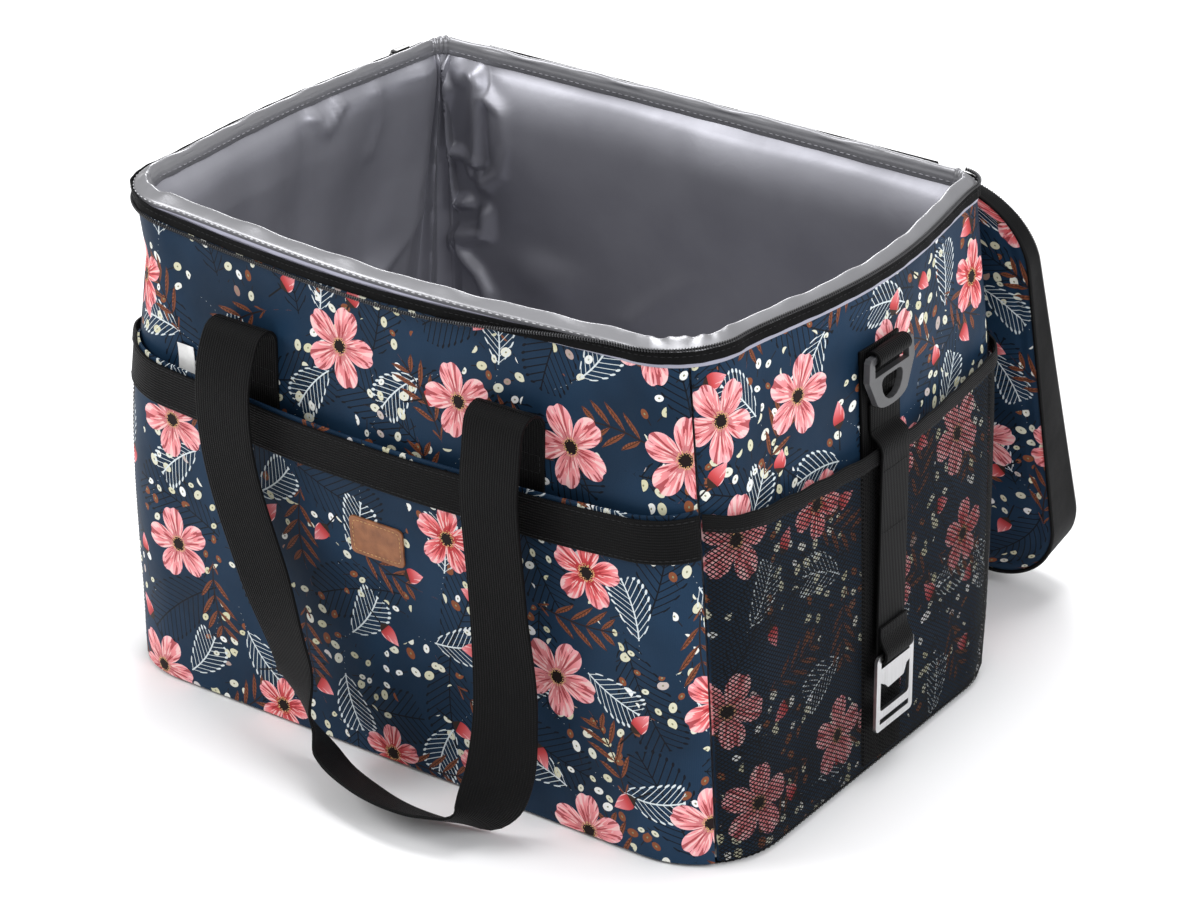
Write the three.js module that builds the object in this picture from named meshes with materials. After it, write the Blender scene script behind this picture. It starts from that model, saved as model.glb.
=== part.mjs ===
// An insulated cooler bag standing open: a soft box of printed cloth over foam with a welded lining,
// a padded lid that hangs behind on a cloth hinge, two webbing handles, a slip pocket in front,
// mesh pockets at both ends, hanging rings, and a bottle opener on a strap.
// Millimetres. The origin is the centre of the base's underside, +Z is up, the front faces -Y.
import * as THREE from 'three';

// Driving dimensions of the bag's shell
const bagHeight = 305;
const baseHalfLength = 218;
const baseHalfDepth = 151;
const rimHalfLength = 193;
const rimHalfDepth = 144;
const baseCorner = 52;
const frontRimCorner = 42;
const backRimCorner = 16;
const rimBulge = { left: 8.5, front: 11.6, right: 15, back: 2 };
const cornerFlare = 17;
const flareFoot = 262;
const belly = 5;

// Layers and clearances
const clearance = 0.3;
const cloth = 1.2;
const foamThickness = 6;
const lining = 1;
const seamGap = 0.0025;

// Rim: rolled hem, zipper tape and its coil
const hemHeight = 13;
const hemOverlap = 0.6;
const hemRoll = 2.8;
const hemCrown = 0.5;
const tapeWidth = 6.4;
const foldedTapeTop = 9;
const uprightTapeTop = 4;
const coilRadius = 1.2;
const coilGap = 0.4;

// Webbing
const wideWebbing = 38;
const narrowWebbing = 25;
const strapWebbing = 28;
const webbingThickness = 1.8;

// Front and back: pocket, band, handles, patch and label
const frontCentre = -4.5;
const bandTop = 213;
const bandSag = 8;
const pocketLip = 2;
const pocketSlack = 7;
const handleSpacing = 180;
const handleFoldTop = 254;
const frontFoldRadius = 9.5;
const backFoldRadius = 3.5;
const frontReach = 52;
const backReach = 19;
const tabFoot = 150;
const patchLength = 37;
const patchHeight = 24;
const patchMiddle = 146;
const patchThickness = 1.4;
const labelWidth = 12;
const labelHeight = 26;
const labelMiddle = { x: -145, z: 210 };
const labelThickness = 0.6;

// Ends: mesh pockets, side bands, rings, opener and its strap
const meshThickness = 1;
const meshSlack = 4;
const meshFootRamp = 3.4;
const meshTop = { front: 213, middle: 203, back: 208 };
const bindingHeight = 10;
const sideCentre = 5;
const sideBandFoot = 6;
const sideBandTop = 261;
const ringBarHeight = 257;
const ringWidth = 46;
const ringHeight = 33;
const ringThickness = 4;
const ringBar = 4;
const ringWebbing = 32;
const ringTail = 22;
const strapHinge = 213;
const anchorHeight = 16;
const strapShoulder = 206;
const strapEnd = 76;
const lapEdge = 10;
const lapTop = 18;
const openerWidth = 38;
const openerHeight = 48;
const openerThickness = 2;
const openerBar = 3.5;
const capHoleTop = 20;
const capHoleFoot = 35.5;
const capHoleHalf = 15;
const footSlotHigh = 40.5;
const footSlotLow = 43.8;
const footSlotHalf = 15;

// Lid
const lidHalfLength = 210;
const lidDepth = 285;
const lidFrontBulge = 5;
const lidCorner = 48;
const lidDome = 3;
const lidFoam = 3;
const gussetAtHinge = 7.4;
const gussetAtFront = 31;
const lidFlare = 13;
const hingeLine = { y: 150.3, z: 301 };
const creaseGap = 0.15;
const hingeStripLength = 15.5;
const hingeStripFlare = 25;
const hingeHalfLength = 158;
const hingeTapeHeight = 14;
const hingeTapeDrop = 0.95;

// Zipper slider and its pull
const sliderLength = 11;
const sliderPark = 118;
const sliderTravel = 25;
const pullLength = 34;
const pullWidth = 17;
const pullBar = 1.8;

const cutPanel = new THREE.MeshStandardMaterial({ color: 0x1f3650, roughness: 0.75, metalness: 0 });
const blackWebbing = new THREE.MeshStandardMaterial({ color: 0x0d0d0e, roughness: 0.85, metalness: 0 });
const blackTape = new THREE.MeshStandardMaterial({ color: 0x121213, roughness: 0.7, metalness: 0 });
const blackMesh = new THREE.MeshStandardMaterial({ color: 0x14161b, roughness: 0.9, metalness: 0 });
const greyLining = new THREE.MeshStandardMaterial({ color: 0x83838c, roughness: 0.35, metalness: 0.3 });
const whiteFoam = new THREE.MeshStandardMaterial({ color: 0xe8e8e6, roughness: 0.9, metalness: 0 });
const brownLeather = new THREE.MeshStandardMaterial({ color: 0x915532, roughness: 0.6, metalness: 0 });
const whiteLabel = new THREE.MeshStandardMaterial({ color: 0xf2f2f0, roughness: 0.8, metalness: 0 });
const darkPlastic = new THREE.MeshStandardMaterial({ color: 0x3a3b3d, roughness: 0.5, metalness: 0 });
const paleSteel = new THREE.MeshStandardMaterial({ color: 0xc9c6cc, roughness: 0.35, metalness: 0.9 });

const bag = new THREE.Group();

// Adds a closed mesh to a group with its faces turned outwards
function addPiece(group, name, geometry, material) {
  const piece = geometry.index ? geometry.toNonIndexed() : geometry;
  const corners = piece.getAttribute('position');
  const [a, b, c] = [new THREE.Vector3(), new THREE.Vector3(), new THREE.Vector3()];
  let volume = 0;
  for (let i = 0; i < corners.count; i += 3) {
    a.fromBufferAttribute(corners, i);
    b.fromBufferAttribute(corners, i + 1);
    c.fromBufferAttribute(corners, i + 2);
    volume += a.dot(b.cross(c));
  }
  if (volume < 0) {
    for (let i = 0; i < corners.count; i += 3) {
      b.fromBufferAttribute(corners, i + 1);
      c.fromBufferAttribute(corners, i + 2);
      corners.setXYZ(i + 1, c.x, c.y, c.z);
      corners.setXYZ(i + 2, b.x, b.y, b.z);
    }
  }
  piece.computeVertexNormals();
  const mesh = new THREE.Mesh(piece, material);
  mesh.name = name;
  group.add(mesh);
  return mesh;
}

// A triangle mesh from points and index triples
function meshFrom(points, faces) {
  const geometry = new THREE.BufferGeometry();
  geometry.setAttribute('position', new THREE.Float32BufferAttribute(points.flatMap((p) => [p.x, p.y, p.z]), 3));
  geometry.setIndex(faces.flat());
  return geometry;
}

// A skin over rings of points: either a closed loop of rings, or capped by a fan at each end
function skin(rings, looped = false) {
  const size = rings[0].length;
  const points = rings.flat();
  const faces = [];
  const last = looped ? rings.length : rings.length - 1;
  for (let i = 0; i < last; i += 1) {
    const near = i * size;
    const far = ((i + 1) % rings.length) * size;
    for (let j = 0; j < size; j += 1) {
      const next = (j + 1) % size;
      faces.push([near + j, near + next, far + next], [near + j, far + next, far + j]);
    }
  }
  if (!looped) {
    const ends = [[0, false], [rings.length - 1, true]];
    for (const [index, turned] of ends) {
      const middle = new THREE.Vector3();
      rings[index].forEach((point) => middle.addScaledVector(point, 1 / size));
      const hub = points.push(middle) - 1;
      for (let j = 0; j < size; j += 1) {
        const here = index * size + j;
        const next = index * size + ((j + 1) % size);
        faces.push(turned ? [hub, here, next] : [hub, next, here]);
      }
    }
  }
  return meshFrom(points, faces);
}

// A closed sheet between an inner and an outer surface over the same two parameters
function sheet(across, up, surface) {
  const points = [];
  for (const layer of [0, 1]) {
    for (const v of up) {
      for (const u of across) {
        points.push(surface(u, v, layer));
      }
    }
  }
  const columns = across.length;
  const rows = up.length;
  const at = (layer, row, column) => (layer * rows + row) * columns + column;
  const faces = [];
  const quad = (a, b, c, d) => faces.push([a, b, c], [a, c, d]);
  for (let row = 0; row + 1 < rows; row += 1) {
    for (let column = 0; column + 1 < columns; column += 1) {
      quad(at(1, row, column), at(1, row, column + 1), at(1, row + 1, column + 1), at(1, row + 1, column));
      quad(at(0, row, column), at(0, row + 1, column), at(0, row + 1, column + 1), at(0, row, column + 1));
    }
    quad(at(0, row, 0), at(1, row, 0), at(1, row + 1, 0), at(0, row + 1, 0));
    const end = columns - 1;
    quad(at(0, row, end), at(0, row + 1, end), at(1, row + 1, end), at(1, row, end));
  }
  for (let column = 0; column + 1 < columns; column += 1) {
    quad(at(0, 0, column), at(0, 0, column + 1), at(1, 0, column + 1), at(1, 0, column));
    const top = rows - 1;
    quad(at(0, top, column), at(1, top, column), at(1, top, column + 1), at(0, top, column + 1));
  }
  return meshFrom(points, faces);
}

// Evenly spaced values from low to high
function steps(low, high, count) {
  return Array.from({ length: count + 1 }, (_, i) => low + ((high - low) * i) / count);
}

const lerp = THREE.MathUtils.lerp;
const rad = THREE.MathUtils.degToRad;

// The four sides in order, seen from above and anticlockwise from the left end
const sides = [
  { name: 'left', along: [0, -1], out: [-1, 0] },
  { name: 'front', along: [1, 0], out: [0, -1] },
  { name: 'right', along: [0, 1], out: [1, 0] },
  { name: 'back', along: [-1, 0], out: [0, 1] },
];
const [leftSide, frontSide, rightSide, backSide] = [0, 1, 2, 3];
const cornerShare = 0.14;

// Half lengths, corner radii and bulge of one side of the shell at a height
function sidePlan(side, z) {
  const rise = z / bagHeight;
  const swell = belly * Math.sin(Math.PI * rise);
  const halfLength = lerp(baseHalfLength, rimHalfLength, rise) + swell;
  const halfDepth = lerp(baseHalfDepth, rimHalfDepth, rise) + swell;
  const front = lerp(baseCorner, frontRimCorner, rise);
  const back = lerp(baseCorner, backRimCorner, rise);
  const radii = [[back, front], [front, front], [front, back], [back, back]][side];
  const lengthwise = side === frontSide || side === backSide;
  return {
    reach: lengthwise ? halfLength : halfDepth,
    distance: lengthwise ? halfDepth : halfLength,
    startRadius: radii[0],
    endRadius: radii[1],
    bulge: rimBulge[sides[side].name] * rise * rise,
  };
}

// The rim's front left corner flares out: how much the shell's left half grows there
function cornerStretch(y, z) {
  const ahead = THREE.MathUtils.clamp(0.5 - y / (2 * rimHalfDepth), 0, 1);
  const up = THREE.MathUtils.clamp((z - flareFoot) / (bagHeight - flareFoot), 0, 1);
  return 1 + (cornerFlare / rimHalfLength) * ahead ** 2 * up;
}

// A point of the shell's surface: p counts the sides round from the left one (0 to 4), and offset
// is how far outside the shell's outer face it lies
function wall(p, z, offset = 0) {
  const turn = ((p % 4) + 4) % 4;
  const side = Math.min(3, Math.floor(turn));
  const t = turn - side;
  const plan = sidePlan(side, z);
  const from = -(plan.reach - plan.startRadius);
  const to = plan.reach - plan.endRadius;
  let along;
  let out;
  if (t < cornerShare) {
    const angle = (1 - t / cornerShare) * (Math.PI / 4);
    along = from - (plan.startRadius + offset) * Math.sin(angle);
    out = plan.distance - plan.startRadius + (plan.startRadius + offset) * Math.cos(angle);
  } else if (t > 1 - cornerShare) {
    const angle = ((t - 1 + cornerShare) / cornerShare) * (Math.PI / 4);
    along = to + (plan.endRadius + offset) * Math.sin(angle);
    out = plan.distance - plan.endRadius + (plan.endRadius + offset) * Math.cos(angle);
  } else {
    const share = (t - cornerShare) / (1 - 2 * cornerShare);
    along = lerp(from, to, share);
    out = plan.distance + plan.bulge * (1 - (2 * share - 1) ** 2) ** 1.5 + offset;
  }
  const { along: u, out: n } = sides[side];
  const place = new THREE.Vector3(u[0] * along + n[0] * out, u[1] * along + n[1] * out, z);
  if (place.x < 0) place.x *= cornerStretch(place.y, z);
  return place;
}

// The perimeter count on a side's straight stretch at a distance along it from the bag's middle
function perimeterAt(side, along, z) {
  const plan = sidePlan(side, z);
  const from = -(plan.reach - plan.startRadius);
  const to = plan.reach - plan.endRadius;
  const flared = side === frontSide && along < 0;
  const unflared = flared ? along / cornerStretch(-rimHalfDepth, z) : along;
  return side + cornerShare + (1 - 2 * cornerShare) * ((unflared - from) / (to - from));
}

// Perimeter counts over one side, from share to share of it, finer round its corners
function sideCounts(side, from = seamGap, to = 1 - seamGap, straight = 8) {
  const arc = [0, 0.35, 0.7].map((k) => k * cornerShare);
  const middle = steps(cornerShare, 1 - cornerShare, straight);
  const all = [...arc, ...middle, ...arc.map((k) => 1 - k).reverse()];
  const inside = all.filter((t) => t > from + 0.01 && t < to - 0.01);
  return [from, ...inside, to].map((t) => side + t);
}

const hoop = sides.flatMap((_, side) => sideCounts(side, 0, 1).slice(0, -1));
const panelFoot = cloth + clearance;
const panelTop = bagHeight - hemHeight - clearance;
const panelLevels = [...steps(panelFoot, panelTop, 5).slice(0, -1), flareFoot, panelTop];
const levelsFrom = (foot) => [foot, ...panelLevels.slice(1)];
const foamOutside = -(cloth + clearance);
const foamInside = foamOutside - foamThickness;
const liningOutside = foamInside - clearance;
const liningInside = liningOutside - lining;
const baseFoamTop = panelFoot + foamThickness;
const liningFoot = baseFoamTop + clearance;

// Shell: a base panel and four wall panels sewn together at the corners
const baseEdge = [[-1.2, 0], [0, 0.5], [0, cloth]];
addPiece(bag, 'base_panel', skin(baseEdge.map(([out, z]) => hoop.map((p) => wall(p, 0, out).setZ(z)))), cutPanel);
for (const [side, { name }] of sides.entries()) {
  const panel = sheet(sideCounts(side), panelLevels, (p, z, layer) => wall(p, z, layer ? 0 : -cloth));
  addPiece(bag, `${name}_panel`, panel, cutPanel);
}

// Foam: one sheet in the base and one behind each wall, between the corner seams
const baseFoamRings = [panelFoot, baseFoamTop].map((z) => hoop.map((p) => wall(p, z, foamOutside)));
addPiece(bag, 'base_foam', skin(baseFoamRings), whiteFoam);
for (const [side, { name }] of sides.entries()) {
  const counts = steps(side + cornerShare, side + 1 - cornerShare, 8);
  const foam = sheet(counts, levelsFrom(liningFoot), (p, z, layer) => wall(p, z, layer ? foamOutside : foamInside));
  addPiece(bag, `${name}_foam`, foam, whiteFoam);
}

// Lining: one welded tub inside the foam
const liningRing = (offset) => (z) => hoop.map((p) => wall(p, z, offset));
const liningOuter = levelsFrom(liningFoot).map(liningRing(liningOutside));
const liningInner = levelsFrom(liningFoot + lining).reverse().map(liningRing(liningInside));
addPiece(bag, 'liner_tub', skin([...liningOuter, ...liningInner]), greyLining);

// Rim: a rolled hem over the tops of the walls, in four lengths joined at the corners
const hemInner = liningInside - hemOverlap;
const hemSection = [
  [hemOverlap, -hemHeight],
  [hemOverlap, -hemRoll],
  [hemOverlap - hemRoll, -hemCrown],
  [lerp(hemInner, hemOverlap, 0.5), 0],
  [hemInner + hemRoll, -hemCrown],
  [hemInner, -hemRoll],
  [hemInner, -hemHeight],
];
for (const [side, { name }] of sides.entries()) {
  const rings = sideCounts(side).map((p) => hemSection.map(([out, drop]) => wall(p, bagHeight + drop, out)));
  addPiece(bag, `${name}_hem`, skin(rings), greyLining);
}

// Zipper on the rim: tape and coil run from the left back corner round the front to the right back
// corner. The tape stands up along both ends and is folded down along the front.
const tapeStart = -0.13;
const tapeEnd = 3.13;
const tapeInner = hemOverlap + clearance;
const tapeOuter = tapeInner + cloth;
const foldStart = 0.95;
const foldEnd = 1.27;
const turnStart = 1.35;
const turnEnd = 2.05;
const smooth = THREE.MathUtils.smoothstep;
const tapeCounts = [
  tapeStart,
  -0.09,
  -0.04,
  ...[leftSide, frontSide, rightSide].flatMap((side) => sideCounts(side, 0, 1, 8).slice(0, -1)),
  3,
  3.04,
  3.09,
  tapeEnd,
];
function tapeBand(p) {
  const upright = 1 - smooth(p, foldStart, foldEnd) + smooth(p, turnStart, turnEnd);
  const top = bagHeight - lerp(foldedTapeTop, uprightTapeTop, upright);
  return { top, foot: top - tapeWidth };
}
const tapeRings = tapeCounts.map((p) => {
  const { top, foot } = tapeBand(p);
  return [[tapeOuter, foot], [tapeOuter, top], [tapeInner, top], [tapeInner, foot]].map(([out, z]) => wall(p, z, out));
});
addPiece(bag, 'rim_tape', skin(tapeRings), blackTape);

// Coil's centre: below the tape, round its outer face where it turns up, then on its top edge
function coilCentre(p) {
  const { top, foot } = tapeBand(p);
  const turned = THREE.MathUtils.clamp((p - turnStart) / (turnEnd - turnStart), 0, 1);
  const below = foot - coilGap - coilRadius;
  const above = top + coilGap + coilRadius;
  const pushed = Math.min(smooth(turned, 0, 0.25), 1 - smooth(turned, 0.75, 1));
  const out = lerp(tapeOuter, tapeOuter + coilGap + coilRadius, pushed);
  return { out, z: lerp(below, above, smooth(turned, 0.25, 0.75)) };
}
const coilSides = 6;
function roundSection(count, radius) {
  return Array.from({ length: count }, (_, i) => {
    const angle = (i / count) * 2 * Math.PI;
    return [radius * Math.cos(angle), radius * Math.sin(angle)];
  });
}
const coilCounts = tapeCounts.flatMap((p, i) => {
  const next = tapeCounts[i + 1];
  const turning = next !== undefined && next > turnStart && p < turnEnd;
  return turning ? steps(p, next, 3).slice(0, -1) : [p];
});
const coilRings = coilCounts.map((p) => {
  const centre = coilCentre(p);
  return roundSection(coilSides, coilRadius).map(([x, y]) => wall(p, centre.z + y, centre.out + x));
});
addPiece(bag, 'rim_coil', skin(coilRings), blackTape);

// A strap swept along a path: each stop has its centre and the direction across the strap
function strap(stops, width, thickness) {
  const rings = stops.map(({ centre }, i) => {
    const before = stops[Math.max(0, i - 1)].centre;
    const after = stops[Math.min(stops.length - 1, i + 1)].centre;
    const run = after.clone().sub(before).normalize();
    const across = stops[i].across.clone();
    across.addScaledVector(run, -across.dot(run)).normalize();
    const face = new THREE.Vector3().crossVectors(run, across);
    return [[1, 1], [0, 1], [-1, 1], [-1, -1], [0, -1], [1, -1]].map(([a, f]) =>
      centre.clone().addScaledVector(across, (a * width) / 2).addScaledVector(face, (f * thickness) / 2));
  });
  return skin(rings);
}

// How far the front pocket stands off the front panel: sewn down at its sides and foot
function pocketStandoff(p, z) {
  const across = 1 - (2 * (p - frontSide) - 1) ** 4;
  const up = THREE.MathUtils.clamp((z - panelFoot) / (bandTop - panelFoot), 0, 1.1);
  return clearance + pocketSlack * across * up ** 1.5;
}
function bandEdge(p, side) {
  return bandTop - bandSag * (1 - (2 * (p - side) - 1) ** 2);
}
const pocketFoot = panelFoot;
const pocketPanel = sheet(sideCounts(frontSide), steps(0, 1, 5), (p, v, layer) => {
  const z = lerp(pocketFoot, bandEdge(p, frontSide) + pocketLip, v);
  return wall(p, z, pocketStandoff(p, z) + (layer ? cloth : 0));
});
addPiece(bag, 'front_pocket', pocketPanel, cutPanel);
const onPocket = cloth + clearance;
const frontBand = sheet(sideCounts(frontSide), steps(0, 1, 2), (p, v, layer) => {
  const z = lerp(bandEdge(p, frontSide) - narrowWebbing, bandEdge(p, frontSide), v);
  return wall(p, z, pocketStandoff(p, z) + onPocket + (layer ? webbingThickness : 0));
});
addPiece(bag, 'front_band', frontBand, blackWebbing);

// Leather patch, bare, sewn to the pocket under the band
const patchCounts = steps(-patchLength / 2, patchLength / 2, 3);
const patchLevels = steps(patchMiddle - patchHeight / 2, patchMiddle + patchHeight / 2, 2);
const patch = sheet(patchCounts, patchLevels, (x, z, layer) => {
  const p = perimeterAt(frontSide, frontCentre + x, z);
  return wall(p, z, pocketStandoff(p, z) + onPocket + (layer ? patchThickness : 0));
});
addPiece(bag, 'leather_patch', patch, brownLeather);

// Blank white label standing in the pocket's mouth near its left end
const labelAcross = steps(-labelWidth / 2, labelWidth / 2, 1);
const labelUp = steps(-labelHeight / 2, labelHeight / 2, 2);
const label = sheet(labelAcross, labelUp, (x, rise, layer) => {
  const z = labelMiddle.z + rise;
  return wall(perimeterAt(frontSide, labelMiddle.x + x, z), z, clearance + (layer ? labelThickness : 0));
});
addPiece(bag, 'pocket_label', label, whiteLabel);

// Band across the back, over the feet of the back handle
const backBand = sheet(sideCounts(backSide, 0.02, 0.98), steps(0, 1, 2), (p, v, layer) => {
  const z = lerp(bandTop - narrowWebbing, bandTop, v);
  const over = 1 - (2 * (p - backSide) - 1) ** 8;
  const under = clearance + over * (webbingThickness + clearance);
  return wall(p, z, under + (layer ? webbingThickness : 0));
});
addPiece(bag, 'back_band', backBand, blackWebbing);

// Handles. Each has two tabs sewn flat on the panel behind the band, which rise and fold over, and
// a loop that swings on the folds.
const tabOffset = clearance + webbingThickness / 2;
function foldPivot(side, x, radius) {
  const z = handleFoldTop - radius - webbingThickness / 2;
  const outward = side === frontSide ? -1 : 1;
  const foot = wall(perimeterAt(side, -outward * x, z), z, tabOffset);
  return { x, y: foot.y + outward * radius, z, outward };
}
const foldGap = 0.7;
function handleTab(side, x, radius) {
  const pivot = foldPivot(side, x, radius);
  const flat = steps(tabFoot, pivot.z, 3).map((z) => ({ z, angle: 0 }));
  const lastAngle = 90 - (foldGap / radius / Math.PI) * 90;
  const folded = steps(0, lastAngle, 4).slice(1).map((angle) => ({ z: pivot.z, angle: rad(angle) }));
  const acrossTab = steps(-wideWebbing / 2, wideWebbing / 2, 2);
  return sheet(acrossTab, [...flat, ...folded], (across, { z, angle }, layer) => {
    const reach = radius + (layer - 0.5) * webbingThickness;
    const p = perimeterAt(side, -pivot.outward * (x + across), z);
    const place = wall(p, z, tabOffset + radius - reach * Math.cos(angle));
    const level = pivot.y - pivot.outward * reach * Math.cos(angle);
    place.y = lerp(place.y, level, angle / (Math.PI / 2));
    return place.setZ(z + reach * Math.sin(angle));
  });
}

// A loop's route from its left fold to its right one. Each stop gives its place as shares of half
// the handle's spacing and of the fold's height, its distance ahead of the base as a share of the
// loop's reach, and the strap's direction across.
function handleLoop(side, middle, radius, reach, route) {
  const [left, right] = [-1, 1].map((hand) => foldPivot(side, middle + (hand * handleSpacing) / 2, radius));
  const { outward } = left;
  const top = left.z + radius;
  const firstAngle = (foldGap / radius / Math.PI) * 90;
  const fold = (pivot, angles, hand) => angles.map((angle) => ({
    at: new THREE.Vector3(pivot.x, pivot.y + outward * radius * Math.sin(rad(angle)), pivot.z + radius * Math.cos(rad(angle))),
    across: new THREE.Vector3(hand, 0, 0),
  }));
  const stops = [
    ...fold(left, [firstAngle, firstAngle + 8, 40, 70], 1),
    ...route.map(({ share, height, ahead, across }) => ({
      at: new THREE.Vector3(middle + (share * handleSpacing) / 2, outward * (baseHalfDepth + reach * ahead), top * height),
      across: new THREE.Vector3(across[0], across[1] * -outward, across[2]),
    })),
    ...fold(right, [70, 40, firstAngle + 8, firstAngle], -1),
  ];
  const path = new THREE.CatmullRomCurve3(stops.map(({ at }) => at), false, 'centripetal');
  const cuts = 4;
  const fine = stops.slice(0, -1).flatMap(({ across }, i) => steps(0, 1, cuts).slice(0, -1).map((k) => ({
    centre: path.getPoint((i + k) / (stops.length - 1)),
    across: across.clone().lerp(stops[i + 1].across, k),
  })));
  const end = stops[stops.length - 1];
  fine.push({ centre: end.at, across: end.across });
  return strap(fine, wideWebbing, webbingThickness);
}

// The front loop slopes to the right, twists, and its lower run rests on the floor in front
const frontRoute = [
  { share: -1.03, height: 0.89, ahead: 0.481, across: [1, 0, 0] },
  { share: -1.03, height: 0.75, ahead: 0.49, across: [1, 0, 0.05] },
  { share: -0.96, height: 0.63, ahead: 0.5, across: [0.97, 0, 0.22] },
  { share: -0.75, height: 0.465, ahead: 0.577, across: [0.87, 0, 0.48] },
  { share: -0.47, height: 0.28, ahead: 0.712, across: [0.85, -0.25, 0.45] },
  { share: -0.33, height: 0.15, ahead: 0.75, across: [0.55, -0.65, 0.5] },
  { share: -0.16, height: 0.075, ahead: 0.788, across: [0.15, -0.85, 0.5] },
  { share: 0.16, height: 0.05, ahead: 0.923, across: [0, -0.86, 0.5] },
  { share: 0.49, height: 0.046, ahead: 1, across: [0, -0.86, 0.5] },
  { share: 0.77, height: 0.048, ahead: 0.942, across: [-0.1, -0.86, 0.5] },
  { share: 0.99, height: 0.065, ahead: 0.808, across: [-0.5, -0.8, 0.35] },
  { share: 1.1, height: 0.15, ahead: 0.712, across: [-0.85, -0.5, 0.1] },
  { share: 1.14, height: 0.33, ahead: 0.625, across: [-0.98, -0.2, 0] },
  { share: 1.06, height: 0.58, ahead: 0.538, across: [-1, 0, 0] },
  { share: 0.99, height: 0.81, ahead: 0.49, across: [-1, 0, 0] },
  { share: 1, height: 0.9, ahead: 0.471, across: [-1, 0, 0] },
];

// The back loop hangs flat between the bag and its open lid
const backRoute = [
  { share: -1, height: 0.92, ahead: 0.347, across: [1, 0, 0] },
  { share: -1, height: 0.7, ahead: 0.5, across: [1, 0, 0] },
  { share: -0.98, height: 0.45, ahead: 0.605, across: [1, 0, 0.05] },
  { share: -0.86, height: 0.28, ahead: 0.684, across: [0.8, -0.3, 0.5] },
  { share: -0.5, height: 0.17, ahead: 0.895, across: [0.25, -0.5, 0.85] },
  { share: 0, height: 0.14, ahead: 1, across: [0, -0.5, 0.86] },
  { share: 0.5, height: 0.17, ahead: 0.895, across: [-0.25, -0.5, 0.85] },
  { share: 0.86, height: 0.28, ahead: 0.684, across: [-0.8, -0.3, 0.5] },
  { share: 0.98, height: 0.45, ahead: 0.605, across: [-1, 0, 0.05] },
  { share: 1, height: 0.7, ahead: 0.5, across: [-1, 0, 0] },
  { share: 1, height: 0.92, ahead: 0.347, across: [-1, 0, 0] },
];
const handles = [
  { name: 'front_handle', side: frontSide, middle: frontCentre, radius: frontFoldRadius, reach: frontReach, route: frontRoute },
  { name: 'back_handle', side: backSide, middle: 0, radius: backFoldRadius, reach: backReach, route: backRoute },
];
for (const { name, side, middle, radius, reach, route } of handles) {
  for (const [hand, word] of [[-1, 'left'], [1, 'right']]) {
    const tab = handleTab(side, middle + (hand * handleSpacing) / 2, radius);
    addPiece(bag, `${name}_${word}_tab`, tab, blackWebbing);
  }
  addPiece(bag, name, handleLoop(side, middle, radius, reach, route), blackWebbing);
}

// How far an end's mesh pocket stands off its panel: over the side band, and slack at its mouth
function meshStandoff(p, side, z) {
  const across = 2 * (p - side) - 1;
  const up = THREE.MathUtils.clamp((z - panelFoot) / (meshTop.middle - panelFoot), 0, 1.1);
  const overBand = (webbingThickness + clearance) * (1 - across ** 8);
  const clearOfFoot = Math.min(1, (z - panelFoot) / meshFootRamp);
  return clearance + overBand * Math.max(0, clearOfFoot) + meshSlack * (1 - across ** 4) * up ** 1.5;
}
function meshEdge(p, side) {
  const share = side === rightSide ? p - side : 1 - (p - side);
  const chord = lerp(meshTop.front, meshTop.back, share);
  const dip = (meshTop.front + meshTop.back) / 2 - meshTop.middle;
  return chord - dip * 4 * share * (1 - share);
}
const onMesh = meshThickness + clearance;
const bandLevels = steps(sideBandFoot, sideBandTop, 6);
for (const side of [leftSide, rightSide]) {
  const { name, along } = sides[side];
  const pocket = sheet(sideCounts(side), [0, ...steps(0.02, 1, 5)], (p, v, layer) => {
    const z = lerp(panelFoot, meshEdge(p, side), v);
    return wall(p, z, meshStandoff(p, side, z) + (layer ? meshThickness : 0));
  });
  addPiece(bag, `${name}_mesh_pocket`, pocket, blackMesh);
  const binding = sheet(sideCounts(side), steps(0, 1, 1), (p, v, layer) => {
    const z = lerp(meshEdge(p, side) - bindingHeight, meshEdge(p, side), v);
    return wall(p, z, meshStandoff(p, side, z) + onMesh + (layer ? cloth : 0));
  });
  addPiece(bag, `${name}_pocket_binding`, binding, blackTape);
  const sideBand = sheet(steps(-wideWebbing / 2, wideWebbing / 2, 3), bandLevels, (y, z, layer) => {
    const p = perimeterAt(side, along[1] * (sideCentre + y), z);
    return wall(p, z, clearance + (layer ? webbingThickness : 0));
  });
  addPiece(bag, `${name}_side_band`, sideBand, blackWebbing);
}

// The place of something on an end, at a height, by its distance off the end's panel
function endPlace(side, z, offset) {
  return wall(perimeterAt(side, sides[side].along[1] * sideCentre, z), z, offset);
}

// Extrudes a shape drawn in the x-z plane through a width along y, centred on a place
function acrossEnd(shape, width, place) {
  const geometry = new THREE.ExtrudeGeometry(shape, { depth: width, bevelEnabled: false, curveSegments: 4 });
  geometry.rotateX(Math.PI / 2);
  geometry.translate(place.x, place.y + width / 2, place.z);
  return geometry;
}
function roundedPlate(halfWidth, top, bottom, radius) {
  const shape = new THREE.Shape();
  shape.moveTo(-halfWidth + radius, bottom);
  shape.lineTo(halfWidth - radius, bottom);
  shape.absarc(halfWidth - radius, bottom + radius, radius, -Math.PI / 2, 0, false);
  shape.lineTo(halfWidth, top - radius);
  shape.absarc(halfWidth - radius, top - radius, radius, 0, Math.PI / 2, false);
  shape.lineTo(-halfWidth + radius, top);
  shape.absarc(-halfWidth + radius, top - radius, radius, Math.PI / 2, Math.PI, false);
  shape.lineTo(-halfWidth, bottom + radius);
  shape.absarc(-halfWidth + radius, bottom + radius, radius, Math.PI, Math.PI * 1.5, false);
  return shape;
}

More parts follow.
